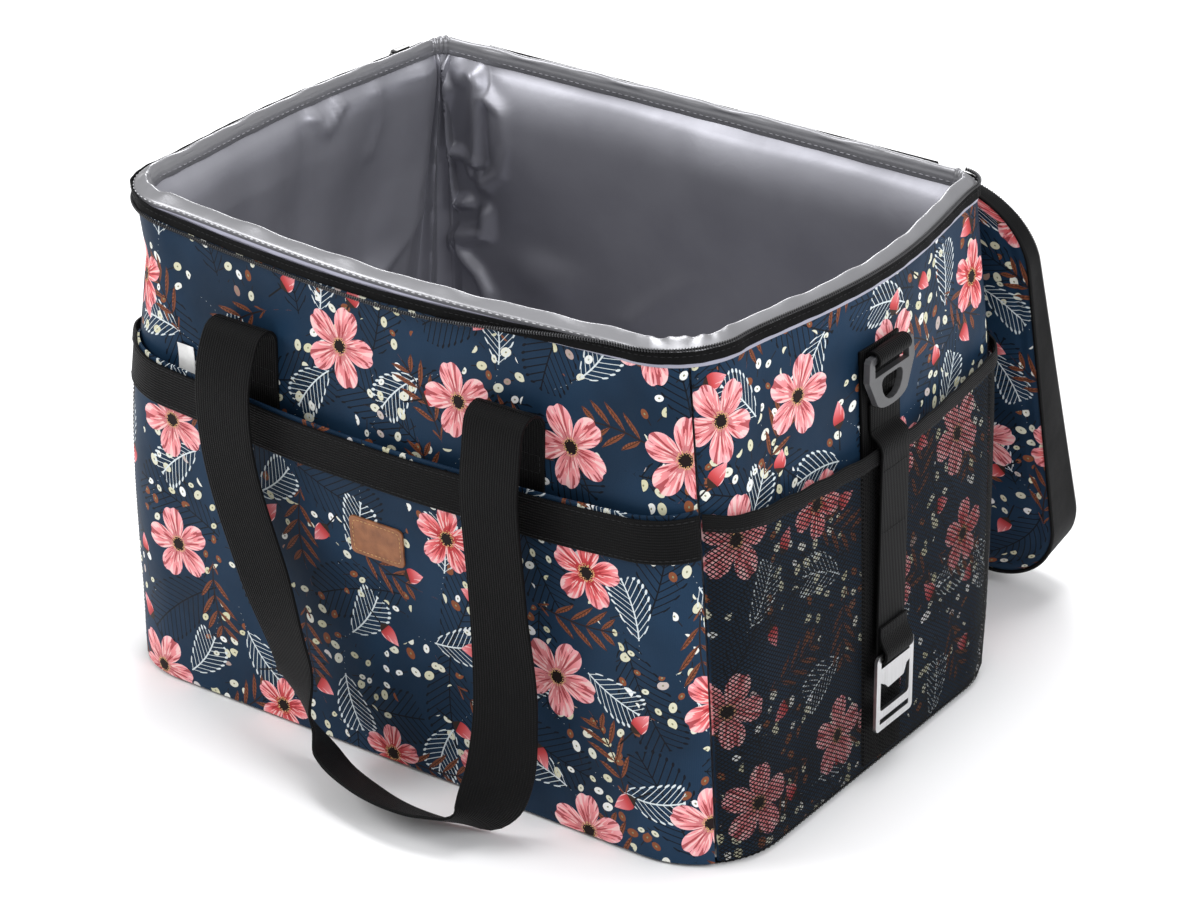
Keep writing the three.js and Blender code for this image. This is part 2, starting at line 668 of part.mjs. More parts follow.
// A flat plate cut from a shape drawn in the y-z plane, its thickness centred on a place
function onEnd(shape, thickness, place) {
  const geometry = new THREE.ExtrudeGeometry(shape, { depth: thickness, bevelEnabled: false, curveSegments: 4 });
  geometry.rotateX(Math.PI / 2);
  geometry.rotateZ(Math.PI / 2);
  geometry.translate(place.x - thickness / 2, place.y, place.z);
  return geometry;
}

// Rings: a moulded ring hangs from a webbing loop at the top of each side band, its plate parallel
// to the panel behind it
const ringLoopInner = Math.hypot(ringBar, ringThickness) / 2 + clearance;
const ringLoopOuter = ringLoopInner + webbingThickness;
const ringOffset = clearance + webbingThickness + clearance + ringLoopOuter;
const ringSlotFoot = -ringBar / 2 - 8;
const windowTop = ringSlotFoot - 2.4;
const windowHeight = 15;
const windowHalf = 10.5;
for (const side of [leftSide, rightSide]) {
  const { name, out } = sides[side];
  const place = endPlace(side, ringBarHeight, ringOffset);
  const lower = endPlace(side, ringBarHeight - ringHeight, ringOffset);
  const lean = Math.atan2(place.x - lower.x, ringHeight);
  const eyeCentre = new THREE.Vector3();
  const hung = (geometry) => geometry.rotateY(lean).translate(place.x, place.y, place.z);
  const loop = new THREE.Shape();
  loop.moveTo(-out[0] * ringLoopOuter, -ringTail);
  loop.absarc(0, 0, ringLoopOuter, out[0] > 0 ? Math.PI : 0, out[0] > 0 ? -0.75 * Math.PI : 1.75 * Math.PI, out[0] > 0);
  loop.lineTo(-out[0] * ringLoopInner, -ringLoopOuter - 3);
  loop.lineTo(-out[0] * ringLoopInner, -ringTail);
  loop.closePath();
  const eye = new THREE.Path();
  eye.absarc(0, 0, ringLoopInner, 0, 2 * Math.PI, out[0] < 0);
  loop.holes.push(eye);
  addPiece(bag, `${name}_ring_loop`, hung(acrossEnd(loop, ringWebbing, eyeCentre)), blackWebbing);
  const ringTop = ringBar / 2;
  const ringFoot = ringTop - ringHeight;
  const half = ringWidth / 2;
  const ring = new THREE.Shape();
  ring.moveTo(-half + 2.5, ringTop);
  ring.lineTo(half - 2.5, ringTop);
  ring.lineTo(half - 1, ringTop - 2);
  ring.lineTo(half, ringTop - 13);
  ring.lineTo(half - 8, ringFoot + 4);
  ring.quadraticCurveTo(half - 12, ringFoot, 0, ringFoot);
  ring.quadraticCurveTo(-half + 12, ringFoot, -half + 8, ringFoot + 4);
  ring.lineTo(-half, ringTop - 13);
  ring.lineTo(-half + 1, ringTop - 2);
  ring.closePath();
  const slot = new THREE.Path();
  const slotHalf = ringWebbing / 2 + 1;
  slot.moveTo(-slotHalf, -ringBar / 2);
  slot.lineTo(-slotHalf, ringSlotFoot);
  slot.lineTo(slotHalf, ringSlotFoot);
  slot.lineTo(slotHalf, -ringBar / 2);
  slot.closePath();
  const window = new THREE.Path();
  window.absellipse(0, windowTop - 4, windowHalf, windowHeight - 4, Math.PI, 2 * Math.PI, false);
  window.quadraticCurveTo(windowHalf, windowTop, windowHalf - 5, windowTop);
  window.lineTo(-windowHalf + 5, windowTop);
  window.quadraticCurveTo(-windowHalf, windowTop, -windowHalf, windowTop - 4);
  ring.holes.push(slot, window);
  addPiece(bag, `${name}_ring`, hung(onEnd(ring, ringThickness, eyeCentre)), darkPlastic);
}

// Opener strap: sewn under the right ring, it hangs over the mesh pocket and carries the opener
const anchorInner = clearance + webbingThickness + clearance;
const anchorOuter = anchorInner + webbingThickness;
const anchorAcross = steps(-strapWebbing / 2, strapWebbing / 2, 2);
const anchorUp = steps(strapHinge, strapHinge + anchorHeight, 1);
const anchor = sheet(anchorAcross, anchorUp, (y, z, layer) => {
  const p = perimeterAt(rightSide, sideCentre + y, z);
  return wall(p, z, layer ? anchorOuter : anchorInner);
});
addPiece(bag, 'opener_strap_anchor', anchor, blackWebbing);
const overMesh = (levels, width) => Math.max(...levels.flatMap((z) => [-0.5, 0, 0.5].map((share) => {
  const p = perimeterAt(rightSide, sideCentre + share * width, z);
  const bound = z > meshEdge(p, rightSide) - 2 * bindingHeight ? clearance + cloth : 0;
  return wall(p, z, meshStandoff(p, rightSide, z) + meshThickness + bound + 2 * clearance).x;
})));
const strapHang = overMesh(steps(strapEnd, meshTop.middle, 8), strapWebbing) + webbingThickness / 2;
const plateLevels = steps(strapEnd + openerBar / 2 - openerHeight, strapEnd, 4);
const plateHang = overMesh(plateLevels, openerWidth) + openerThickness / 2;
const strapRoot = endPlace(rightSide, strapHinge, (anchorInner + anchorOuter) / 2);
const loopInner = Math.hypot(openerBar, openerThickness) / 2 + clearance;
const loopOuter = loopInner + webbingThickness;
const half = webbingThickness / 2;
const hang = Math.max(strapHang, plateHang + half - loopOuter) - strapRoot.x;
const eyeX = hang - half + loopOuter;
const eyeZ = strapEnd - strapHinge;
const strapSide = new THREE.Shape();
const shoulder = strapShoulder - strapHinge;
strapSide.moveTo(-half, -clearance);
strapSide.lineTo(-half, -2 * clearance);
strapSide.lineTo(hang - half, shoulder);
strapSide.lineTo(hang - half, eyeZ);
strapSide.absarc(eyeX, eyeZ, loopOuter, Math.PI, 2 * Math.PI, false);
strapSide.lineTo(eyeX + loopOuter, eyeZ + lapEdge);
strapSide.lineTo(hang + half, eyeZ + lapTop);
strapSide.lineTo(hang + half, shoulder + half);
strapSide.lineTo(half + 0.6, -clearance);
strapSide.closePath();
const strapEye = new THREE.Path();
strapEye.absarc(eyeX, eyeZ, loopInner, 0, 2 * Math.PI, true);
strapSide.holes.push(strapEye);
addPiece(bag, 'opener_strap', acrossEnd(strapSide, strapWebbing, strapRoot), blackWebbing);

// Bottle opener: a pressed steel plate with a strap slot, a toothed cap hole and a slot at its foot
const openerTop = openerBar / 2;
const openerShape = roundedPlate(openerWidth / 2, openerTop, openerTop - openerHeight, 3);
const strapSlot = new THREE.Path();
const openerSlotHalf = strapWebbing / 2 + 0.7;
const openerSlotFoot = -openerBar / 2 - 2 * webbingThickness - 1;
strapSlot.moveTo(-openerSlotHalf, -openerBar / 2);
strapSlot.lineTo(-openerSlotHalf, openerSlotFoot);
strapSlot.lineTo(openerSlotHalf, openerSlotFoot);
strapSlot.lineTo(openerSlotHalf, -openerBar / 2);
strapSlot.closePath();
const capHole = new THREE.Path();
const capTop = openerTop - capHoleTop;
const capFoot = openerTop - capHoleFoot;
const capHalf = capHoleHalf;
capHole.moveTo(-capHalf, capTop + 3);
capHole.lineTo(-capHalf, capFoot + 3);
capHole.quadraticCurveTo(-capHalf, capFoot, -capHalf + 3, capFoot);
capHole.lineTo(capHalf - 3, capFoot);
capHole.quadraticCurveTo(capHalf, capFoot, capHalf, capFoot + 3);
capHole.lineTo(capHalf, capTop + 5);
capHole.lineTo(capHalf - 3, capTop + 4);
capHole.lineTo(capHalf - 6, capTop - 2);
capHole.lineTo(-capHalf + 8, capTop - 3);
capHole.lineTo(-capHalf + 5, capTop);
capHole.closePath();
const footSlot = new THREE.Path();
footSlot.moveTo(-footSlotHalf, openerTop - footSlotLow);
footSlot.lineTo(footSlotHalf, openerTop - footSlotLow);
footSlot.lineTo(footSlotHalf, openerTop - footSlotHigh);
footSlot.lineTo(-footSlotHalf, openerTop - footSlotHigh);
footSlot.closePath();
openerShape.holes.push(strapSlot, capHole, footSlot);
const openerPlace = new THREE.Vector3(strapRoot.x + eyeX, strapRoot.y, strapEnd);
addPiece(bag, 'bottle_opener', onEnd(openerShape, openerThickness, openerPlace), paleSteel);

// Zipper slider: parked near the left back corner, it hooks under the coil and carries its pull on
// an eye. Its group's y axis runs along the coil.
const coilAt = (y) => {
  const p = perimeterAt(leftSide, -y, bagHeight);
  const { out, z } = coilCentre(p);
  return wall(perimeterAt(leftSide, -y, z), z, out);
};
const sliderSpot = coilAt(sliderPark);
const run = coilAt(sliderPark - sliderTravel).sub(sliderSpot);
const sliderGroup = new THREE.Group();
sliderGroup.position.copy(sliderSpot);
sliderGroup.rotation.z = Math.atan2(run.x, -run.y);
const coilReach = coilRadius + 0.8;
const sliderShell = 1.4;
const eyeInner = Math.hypot(pullBar, pullBar) / 2 + clearance;
const eyeOuter = eyeInner + 1.2;
const eyeOut = coilReach + sliderShell + eyeInner + 0.2;
const eyeRise = coilRadius + 3;
const sliderShape = new THREE.Shape();
sliderShape.moveTo(coilRadius, -coilReach);
sliderShape.lineTo(-coilReach, -coilReach);
sliderShape.lineTo(-coilReach, eyeRise + eyeOuter);
sliderShape.lineTo(-eyeOut, eyeRise + eyeOuter);
sliderShape.absarc(-eyeOut, eyeRise, eyeOuter, Math.PI / 2, 1.3 * Math.PI, false);
sliderShape.lineTo(-coilReach - sliderShell, eyeRise - eyeOuter - 1.6);
sliderShape.lineTo(-coilReach - sliderShell, -coilReach - sliderShell);
sliderShape.lineTo(coilRadius, -coilReach - sliderShell);
sliderShape.closePath();
const sliderEye = new THREE.Path();
sliderEye.absarc(-eyeOut, eyeRise, eyeInner, 0, 2 * Math.PI, true);
sliderShape.holes.push(sliderEye);
addPiece(sliderGroup, 'zipper_slider', acrossEnd(sliderShape, sliderLength, new THREE.Vector3()), darkPlastic);
const pullTop = pullBar / 2;
const pullShape = roundedPlate(pullWidth / 2, pullTop, pullTop - pullLength, 1.5);
const pullSlot = new THREE.Path();
const pullSlotHalf = sliderLength / 2 + 0.8;
pullSlot.moveTo(-pullSlotHalf, -pullBar / 2);
pullSlot.lineTo(-pullSlotHalf, -12);
pullSlot.lineTo(pullSlotHalf, -12);
pullSlot.lineTo(pullSlotHalf, -pullBar / 2);
pullSlot.closePath();
pullShape.holes.push(pullSlot);
const pullPlace = new THREE.Vector3(-eyeOut, 0, eyeRise);
addPiece(sliderGroup, 'zipper_pull', onEnd(pullShape, pullBar, pullPlace), darkPlastic);
bag.add(sliderGroup);

// Lid, built flat and then turned on its hinge. Its own frame: x along the hinge, d away from the
// hinge, h towards the printed face.
const lidAxes = new THREE.Matrix4();
const flare = rad(lidFlare);
const stripLean = rad(hingeStripFlare);
const lidAway = new THREE.Vector3(0, Math.sin(flare), -Math.cos(flare));
const lidOutward = new THREE.Vector3(0, -Math.cos(flare), -Math.sin(flare));
const crease = new THREE.Vector3(
  0,
  hingeLine.y + hingeStripLength * Math.sin(stripLean),
  hingeLine.z - hingeStripLength * Math.cos(stripLean),
);
lidAxes.makeBasis(new THREE.Vector3(1, 0, 0), lidAway, lidOutward);
lidAxes.setPosition(crease.clone().addScaledVector(lidOutward, cloth).addScaledVector(lidAway, creaseGap));
const lidPoint = (x, d, h) => new THREE.Vector3(x, d, h).applyMatrix4(lidAxes);

// Outline of the lid, inset by a distance, from the hinge's left end round the front to its right
function lidOutline(inset) {
  const radius = lidCorner - inset;
  const right = lidHalfLength - lidCorner;
  const far = lidDepth - lidCorner;
  const corner = (x, d, from, to) => steps(from, to, 5).map((angle) =>
    [x + radius * Math.cos(rad(angle)), d + radius * Math.sin(rad(angle))]);
  const sideRun = (x, from, to) => steps(from, to, 3).slice(1, -1).map((d) => [x, d]);
  const bow = (share) => lidFrontBulge * (1 - (2 * share - 1) ** 2) ** 1.5;
  const front = steps(0, 1, 8).slice(1, -1).map((k) => [lerp(-right, right, k), lidDepth - inset + bow(k)]);
  return [
    ...corner(-right, lidCorner, 270, 180),
    ...sideRun(-lidHalfLength + inset, lidCorner, far),
    ...corner(-right, far, 180, 90),
    ...front,
    ...corner(right, far, 90, 0),
    ...sideRun(lidHalfLength - inset, far, lidCorner),
    ...corner(right, lidCorner, 0, -90),
  ];
}
const lidMiddle = [0, lidDepth / 2];
const domeAt = (x, d) =>
  lidDome * Math.cos((Math.PI * x) / (2 * lidHalfLength)) * Math.sin((Math.PI * d) / (lidDepth + 12));

// A plate over the lid's outline between two depths below the printed face
function lidPlate(inset, low, high) {
  const outline = lidOutline(inset);
  const ring = (scale, h) => outline.map(([x, d]) => {
    const [px, pd] = [x * scale, lerp(lidMiddle[1], d, scale)];
    return lidPoint(px, pd, h + domeAt(px, Math.max(0, pd)));
  });
  return skin([ring(0.35, low), ring(0.7, low), ring(1, low), ring(1, high), ring(0.7, high), ring(0.35, high)]);
}
addPiece(bag, 'lid_panel', lidPlate(0, -cloth, 0), cutPanel);
const lidInset = cloth + 2 * clearance + 1;
const lidFoamTop = -cloth - clearance;
addPiece(bag, 'lid_foam', lidPlate(lidInset, lidFoamTop - lidFoam, lidFoamTop), whiteFoam);
const lidLiningTop = lidFoamTop - lidFoam - clearance;
addPiece(bag, 'lid_lining', lidPlate(lidInset, lidLiningTop - lining, lidLiningTop), greyLining);

// Gusset and coil round the lid's left, front and right edges, narrowing towards the hinge
const gussetDepth = (d) => lerp(gussetAtHinge, gussetAtFront, THREE.MathUtils.clamp(d / lidDepth, 0, 1));
const gussetOuter = lidOutline(0);
const gussetInner = lidOutline(cloth);
const gussetRings = gussetOuter.map(([x, d], i) => {
  const [ix, id] = gussetInner[i];
  const foot = -gussetDepth(d);
  const top = -cloth - clearance + domeAt(x, Math.max(0, d));
  return [lidPoint(x, d, foot), lidPoint(x, d, top), lidPoint(ix, id, top), lidPoint(ix, id, foot)];
});
addPiece(bag, 'lid_gusset', skin(gussetRings), blackTape);
const lidCoilRings = lidOutline(cloth / 2).map(([x, d], i) => {
  const [ox, od] = gussetOuter[i];
  const [ix, id] = gussetInner[i];
  const outward = new THREE.Vector2(ox - ix, od - id).normalize();
  const foot = -gussetDepth(d) - coilGap - coilRadius;
  return roundSection(coilSides, coilRadius).map(([a, b]) => lidPoint(x + outward.x * a, d + outward.y * a, foot + b));
});
addPiece(bag, 'lid_coil', skin(lidCoilRings), blackTape);

// Cloth hinge: a tape sewn to the back panel, and a strip that turns on it and carries the lid
const hingeTape = sheet(steps(-hingeHalfLength, hingeHalfLength, 8), steps(0, 1, 1), (x, v, layer) => {
  const top = hingeLine.z - hingeTapeDrop;
  const z = lerp(top - hingeTapeHeight, top, v);
  return wall(perimeterAt(backSide, -x, z), z, layer ? tapeOuter : tapeInner);
});
addPiece(bag, 'hinge_tape', hingeTape, blackTape);
const stripAlong = new THREE.Vector3(0, Math.sin(stripLean), -Math.cos(stripLean));
const stripInward = new THREE.Vector3(0, -Math.cos(stripLean), -Math.sin(stripLean));
const stripRings = [-hingeHalfLength, hingeHalfLength].map((x) => {
  const at = (along, inward) => new THREE.Vector3(x, hingeLine.y, hingeLine.z)
    .addScaledVector(stripAlong, along)
    .addScaledVector(stripInward, inward);
  const tip = hingeStripLength - creaseGap;
  return [at(creaseGap, 0), at(creaseGap, cloth), at(tip, cloth), at(tip, 0)];
});
addPiece(bag, 'hinge_strip', skin(stripRings), blackTape);

export default bag;
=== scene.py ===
import math
import bpy
import numpy as np
from mathutils import Matrix, Vector


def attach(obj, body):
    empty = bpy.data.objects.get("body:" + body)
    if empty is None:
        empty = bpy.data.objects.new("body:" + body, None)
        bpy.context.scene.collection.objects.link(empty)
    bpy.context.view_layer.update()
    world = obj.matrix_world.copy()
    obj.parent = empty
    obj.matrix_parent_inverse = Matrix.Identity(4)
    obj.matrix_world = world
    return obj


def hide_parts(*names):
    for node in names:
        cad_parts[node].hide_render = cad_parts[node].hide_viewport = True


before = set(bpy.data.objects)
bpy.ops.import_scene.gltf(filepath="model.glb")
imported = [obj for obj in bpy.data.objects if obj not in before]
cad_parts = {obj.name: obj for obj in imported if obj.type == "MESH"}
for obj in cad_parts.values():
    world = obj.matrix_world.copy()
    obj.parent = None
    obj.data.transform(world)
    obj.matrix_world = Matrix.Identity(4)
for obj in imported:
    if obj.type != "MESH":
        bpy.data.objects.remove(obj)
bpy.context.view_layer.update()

# Camera, floor and light: the bag is seen from its front right corner and from above, on a white
# studio floor, under one large soft light from the left and paler ones above and from the right.
YAW = -0.6245
PITCH = 0.474
ROLL = -0.0085
forward = Vector((math.sin(YAW) * math.cos(PITCH), math.cos(YAW) * math.cos(PITCH), -math.sin(PITCH)))
level = Vector((math.cos(YAW), -math.sin(YAW), 0))
upward = level.cross(forward)
right_hand = math.cos(ROLL) * level + math.sin(ROLL) * upward
overhead = math.cos(ROLL) * upward - math.sin(ROLL) * level
lens = bpy.data.cameras.new("photo_camera")
lens.lens = 120.44
lens.sensor_width = 36
lens.clip_end = 30
camera = bpy.data.objects.new("photo_camera", lens)
bpy.context.scene.collection.objects.link(camera)
camera.matrix_world = Matrix((
    (right_hand.x, overhead.x, -forward.x, 1.2221),
    (right_hand.y, overhead.y, -forward.y, -1.6543),
    (right_hand.z, overhead.z, -forward.z, 1.1902),
    (0, 0, 0, 1),
))
bpy.context.scene.camera = camera
bpy.context.scene.view_settings.view_transform = "Standard"


def soft_box(name, place, aim, size, power, shade=(1, 1, 1)):
    light = bpy.data.lights.new(name, "AREA")
    light.size = size
    light.energy = power
    light.color = shade
    lamp = bpy.data.objects.new(name, light)
    bpy.context.scene.collection.objects.link(lamp)
    towards = Vector(aim) - Vector(place)
    lamp.matrix_world = Matrix.Translation(place) @ towards.to_track_quat("-Z", "Y").to_matrix().to_4x4()


soft_box("window_light", (-1.5, -1.3, 1.7), (0, 0, 0.15), 1.0, 27)
soft_box("back_light", (-1.5, 2.1, 1.55), (0, 0, 0.25), 1.1, 30)
soft_box("ceiling_light", (0.05, 0.25, 2.2), (0, 0.05, 0.1), 1.1, 34)
soft_box("side_light", (2.0, -0.4, 1.3), (0.1, 0, 0.15), 1.0, 22, (0.97, 0.98, 1))

world = bpy.data.worlds.new("studio")
world.use_nodes = True
world.node_tree.nodes["Background"].inputs["Color"].default_value = (1, 1, 1, 1)
world.node_tree.nodes["Background"].inputs["Strength"].default_value = 0.55
bpy.context.scene.world = world

bpy.ops.object.select_all(action="DESELECT")
bpy.ops.mesh.primitive_plane_add(size=9, location=(0, 0, -0.0004))
floor = bpy.context.active_object
floor.name = "studio_floor"
paper = bpy.data.materials.new("floor_paper")
paper.use_nodes = True
paper.node_tree.nodes["Principled BSDF"].inputs["Base Color"].default_value = (0.93, 0.93, 0.94, 1)
paper.node_tree.nodes["Principled BSDF"].inputs["Roughness"].default_value = 0.7
floor.data.materials.append(paper)

# Outer shell: four walls of printed polyester over foam, cut apart and sewn together at the
# corners, so each seam pulls in a little. The walls lean in, swell between seams and bow at the rim.
HEIGHT = 0.305
CORNER_SHARE = 0.14
ALONG = np.array([(0, -1), (1, 0), (0, 1), (-1, 0)], float)
OUT = np.array([(-1, 0), (0, -1), (1, 0), (0, 1)], float)
RIM_BULGE = np.array([0.0085, 0.0116, 0.015, 0.002])
CORNER_FLARE, FLARE_FOOT = 0.017, 0.262
LEFT, FRONT, RIGHT, BACK = 0, 1, 2, 3
SIDE_NAMES = ("left", "front", "right", "back")


def mix(a, b, share):
    return a + (b - a) * share


def side_plan(side, z):
    rise = z / HEIGHT
    swell = 0.005 * np.sin(math.pi * rise)
    half_length = mix(0.218, 0.193, rise) + swell
    half_depth = mix(0.151, 0.144, rise) + swell
    front = mix(0.052, 0.042, rise)
    back = mix(0.052, 0.016, rise)
    lengthwise = side % 2 == 1
    reach = np.where(lengthwise, half_length, half_depth)
    distance = np.where(lengthwise, half_depth, half_length)
    start = np.where((side == FRONT) | (side == RIGHT), front, back)
    end = np.where((side == LEFT) | (side == FRONT), front, back)
    return reach, distance, start, end, RIM_BULGE[side] * rise**2


def corner_stretch(y, z):
    """How much the shell's left half grows towards the rim's front left corner."""
    ahead = np.clip(0.5 - y / 0.288, 0, 1)
    up = np.clip((z - FLARE_FOOT) / (HEIGHT - FLARE_FOOT), 0, 1)
    return 1 + CORNER_FLARE / 0.193 * ahead**2 * up


def slack(p, z):
    """Shallow dents and swellings of the padded walls, gone at the rim, at the floor and by the rings."""
    up = np.clip(z / HEIGHT, 0, 1)
    still = np.clip((0.245 - z) / 0.06, 0, 1) * np.clip(z / 0.03, 0, 1)
    side = np.floor(np.mod(p, 4))
    ends = 1 - 0.75 * np.exp(-(((np.mod(p, 4) - side - 0.5) / 0.1) ** 2)) * (side % 2 == 0)
    waves = np.sin(9.1 * p + 4.0 * up) * np.sin(5.3 * up + 2.1 * p) + 0.6 * np.sin(17.0 * p - 7.0 * up + 1.0)
    return 0.0008 * waves * still * ends


def wall(p, z, offset=0.0):
    """Points of the shell: p counts the sides round from the left one, offset is how far outside it."""
    p, z, offset = np.broadcast_arrays(np.asarray(p, float), np.asarray(z, float), np.asarray(offset, float))
    offset = offset + slack(p, z)
    turn = np.mod(p, 4)
    side = np.minimum(3, np.floor(turn)).astype(int)
    t = turn - side
    reach, distance, start, end, bulge = side_plan(side, z)
    low, high = start - reach, reach - end
    first = (1 - t / CORNER_SHARE) * math.pi / 4
    last = ((t - 1 + CORNER_SHARE) / CORNER_SHARE) * math.pi / 4
    share = (t - CORNER_SHARE) / (1 - 2 * CORNER_SHARE)
    bow = np.clip(1 - (2 * share - 1) ** 2, 0, 1) ** 1.5
    along = np.where(t < CORNER_SHARE, low - (start + offset) * np.sin(first), mix(low, high, share))
    along = np.where(t > 1 - CORNER_SHARE, high + (end + offset) * np.sin(last), along)
    out = distance + bulge * bow + offset
    out = np.where(t < CORNER_SHARE, distance - start + (start + offset) * np.cos(first), out)
    out = np.where(t > 1 - CORNER_SHARE, distance - end + (end + offset) * np.cos(last), out)
    flat = ALONG[side] * along[..., None] + OUT[side] * out[..., None]
    flat[..., 0] *= np.where(flat[..., 0] < 0, corner_stretch(flat[..., 1], z), 1)
    return np.concatenate([flat, z[..., None]], axis=-1)


def count_at(side, along, z):
    """The count round the shell of a point on a side's straight stretch."""
    flared = (np.asarray(side) == FRONT) & (np.asarray(along) < 0)
    along = along / np.where(flared, corner_stretch(-0.144, z), 1)
    reach, _, start, end, _ = side_plan(np.asarray(side), np.asarray(z, float))
    low, high = start - reach, reach - end
    return side + CORNER_SHARE + (1 - 2 * CORNER_SHARE) * (along - low) / (high - low)


def distances(line):
    """How far along a line each of its points lies."""
    return np.concatenate([[0], np.cumsum(np.linalg.norm(np.diff(line, axis=0), axis=1))])


def pick(piece):
    bpy.ops.object.select_all(action="DESELECT")
    piece.select_set(True)
    bpy.context.view_layer.objects.active = piece


def edit_all(operator, **settings):
    """Runs one mesh operator on the whole of the active piece."""
    bpy.ops.object.mode_set(mode="EDIT")
    bpy.ops.mesh.select_all(action="SELECT")
    operator(**settings)
    bpy.ops.object.mode_set(mode="OBJECT")


def shape_by(piece, kind, **settings):
    """Puts one modifier on the active piece and applies it."""
    bpy.ops.object.modifier_add(type=kind)
    for key, value in settings.items():
        setattr(piece.modifiers[-1], key, value)
    bpy.ops.object.modifier_apply(modifier=piece.modifiers[-1].name)


def lay_sheet(name, cells, place, thickness, side=-1.0, cloth_from=(0.0, 0.0), sideways=False, joined=False):
    """A sheet laid through space by place(u, v), with its thickness and its own cloth coordinates."""
    bpy.ops.object.select_all(action="DESELECT")
    bpy.ops.mesh.primitive_grid_add(x_subdivisions=cells[0], y_subdivisions=cells[1], size=1)
    piece = bpy.context.active_object
    piece.name = piece.data.name = name
    flat = np.empty(len(piece.data.vertices) * 3)
    piece.data.vertices.foreach_get("co", flat)
    u, v = flat.reshape(-1, 3)[:, :2].T + 0.5
    places = np.asarray(place(u, v), float)
    piece.data.vertices.foreach_set("co", places.ravel())
    across, up = (np.unique(np.round(share, 5), return_inverse=True)[1] for share in (u, v))
    middle_row, middle_column = up == up.max() // 2, across == across.max() // 2
    wide = distances(places[middle_row][np.argsort(across[middle_row])])[across]
    high = distances(places[middle_column][np.argsort(up[middle_column])])[up]
    cloth = np.column_stack([high, wide] if sideways else [wide, high]) + cloth_from
    corner = np.empty(len(piece.data.loops), int)
    piece.data.loops.foreach_get("vertex_index", corner)
    piece.data.uv_layers[0].name = "cloth"
    piece.data.uv_layers[0].data.foreach_set("uv", cloth[corner].ravel())
    piece.data.update()
    if joined:
        edit_all(bpy.ops.mesh.remove_doubles, threshold=0.00002)
    if thickness:
        shape_by(piece, "SOLIDIFY", thickness=thickness, offset=side)
    return piece


def dress(piece, finish, body, nodes=(), angle=40):
    """Gives a piece its finish, the body that carries it and the solids that it stands for."""
    pick(piece)
    piece.data.materials.clear()
    piece.data.materials.append(finish)
    bpy.ops.object.shade_smooth_by_angle(angle=math.radians(angle))
    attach(piece, body)
    if nodes:
        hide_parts(*nodes)
    return piece


class Measure:
    """A number or colour that varies over a finish and takes ordinary sums."""

    def __init__(self, socket):
        self.socket = socket
        self.tree = socket.id_data

    def sum(self, operation, *others, clamp=False):
        sockets = dict(enumerate((self, *others)))
        return measured(self.tree, "Math", sockets, operation=operation, use_clamp=clamp)

    def __add__(self, other):
        return self.sum("ADD", other)

    def __sub__(self, other):
        return self.sum("SUBTRACT", other)

    def __mul__(self, other):
        return self.sum("MULTIPLY", other)

    def __truediv__(self, other):
        return self.sum("DIVIDE", other)

    def __mod__(self, other):
        return self.sum("FLOORED_MODULO", other)

    def __pow__(self, other):
        return self.sum("POWER", other)

    def __or__(self, other):
        return self.sum("MAXIMUM", other)

    def __lt__(self, other):
        return self.sum("LESS_THAN", other)

    def __gt__(self, other):
        return self.sum("GREATER_THAN", other)

    def __abs__(self):
        return self.sum("ABSOLUTE")

    def between(self, low, high):
        return measured(self.tree, "MapRange", {"Value": self, "To Min": low, "To Max": high})

    def toned(self, *stops):
        """The colours that lie at these stops of the measure, and between them."""
        ramp = node(self.tree, "ValToRGB", {"Fac": self})
        for element, (position, colour) in zip(ramp.color_ramp.elements, (stops[0], stops[-1])):
            element.position, element.color = position, (*colour, 1)
        for position, colour in stops[1:-1]:
            ramp.color_ramp.elements.new(position).color = (*colour, 1)
        return Measure(ramp.outputs["Color"])

    def inked(self, mask, ink):
        """This colour with another laid over it wherever the mask is one."""
        return measured(self.tree, "Mix", {0: mask, 6: self, 7: ink}, 2, data_type="RGBA", clamp_factor=True)

    def bump(self, strength, distance, under=None):
        sockets = {"Height": self, "Strength": strength, "Distance": distance}
        return measured(self.tree, "Bump", sockets | ({"Normal": under} if under else {}))


def node(tree, kind, sockets, **settings):
    made = tree.nodes.new("ShaderNode" + kind)
    for key, value in settings.items():
        setattr(made, key, value)
    for key, value in sockets.items():
        if isinstance(value, Measure):
            tree.links.new(value.socket, made.inputs[key])
        else:
            made.inputs[key].default_value = (*value, 1) if made.inputs[key].type == "RGBA" else value
    return made


def measured(tree, kind, sockets, output=0, **settings):
    return Measure(node(tree, kind, sockets, **settings).outputs[output])


def noise(where, scale, detail, distortion=0.0, roughness=0.5, flat=False):
    sockets = {"Vector": where, "Scale": scale, "Detail": detail}
    sockets |= {"Roughness": roughness, "Distortion": distortion}
    return measured(where.tree, "TexNoise", sockets, noise_dimensions="2D" if flat else "3D")


def strokes_of(along, across, detail):
    """Noise drawn out into brush strokes."""
    return noise(measured(along.tree, "CombineXYZ", {0: along, 1: across}), 1, detail, flat=True)


def motif_spot(cloth, size, shift, loose):
    """Measures from the middle of the nearest motif, each turned its own way, and its two chances."""
    moved = measured(cloth.tree, "VectorMath", {0: cloth, 1: shift}, operation="ADD")
    spots = node(
        cloth.tree, "TexVoronoi", {"Vector": moved, "Scale": 1 / size, "Randomness": loose},
        voronoi_dimensions="2D", feature="F1",
    ).outputs
    gap = measured(cloth.tree, "VectorMath", {0: moved, 1: Measure(spots["Position"])}, operation="SUBTRACT")
    chances = node(cloth.tree, "SeparateColor", {"Color": Measure(spots["Color"])}).outputs
    angle = Measure(chances[0]) * (2 * math.pi)
    turned = measured(cloth.tree, "VectorRotate", {"Vector": gap, "Angle": angle}, rotation_type="Z_AXIS")
    apart = node(cloth.tree, "SeparateXYZ", {"Vector": turned}).outputs
    return Measure(apart[0]), Measure(apart[1]), Measure(chances[1]), Measure(chances[2])


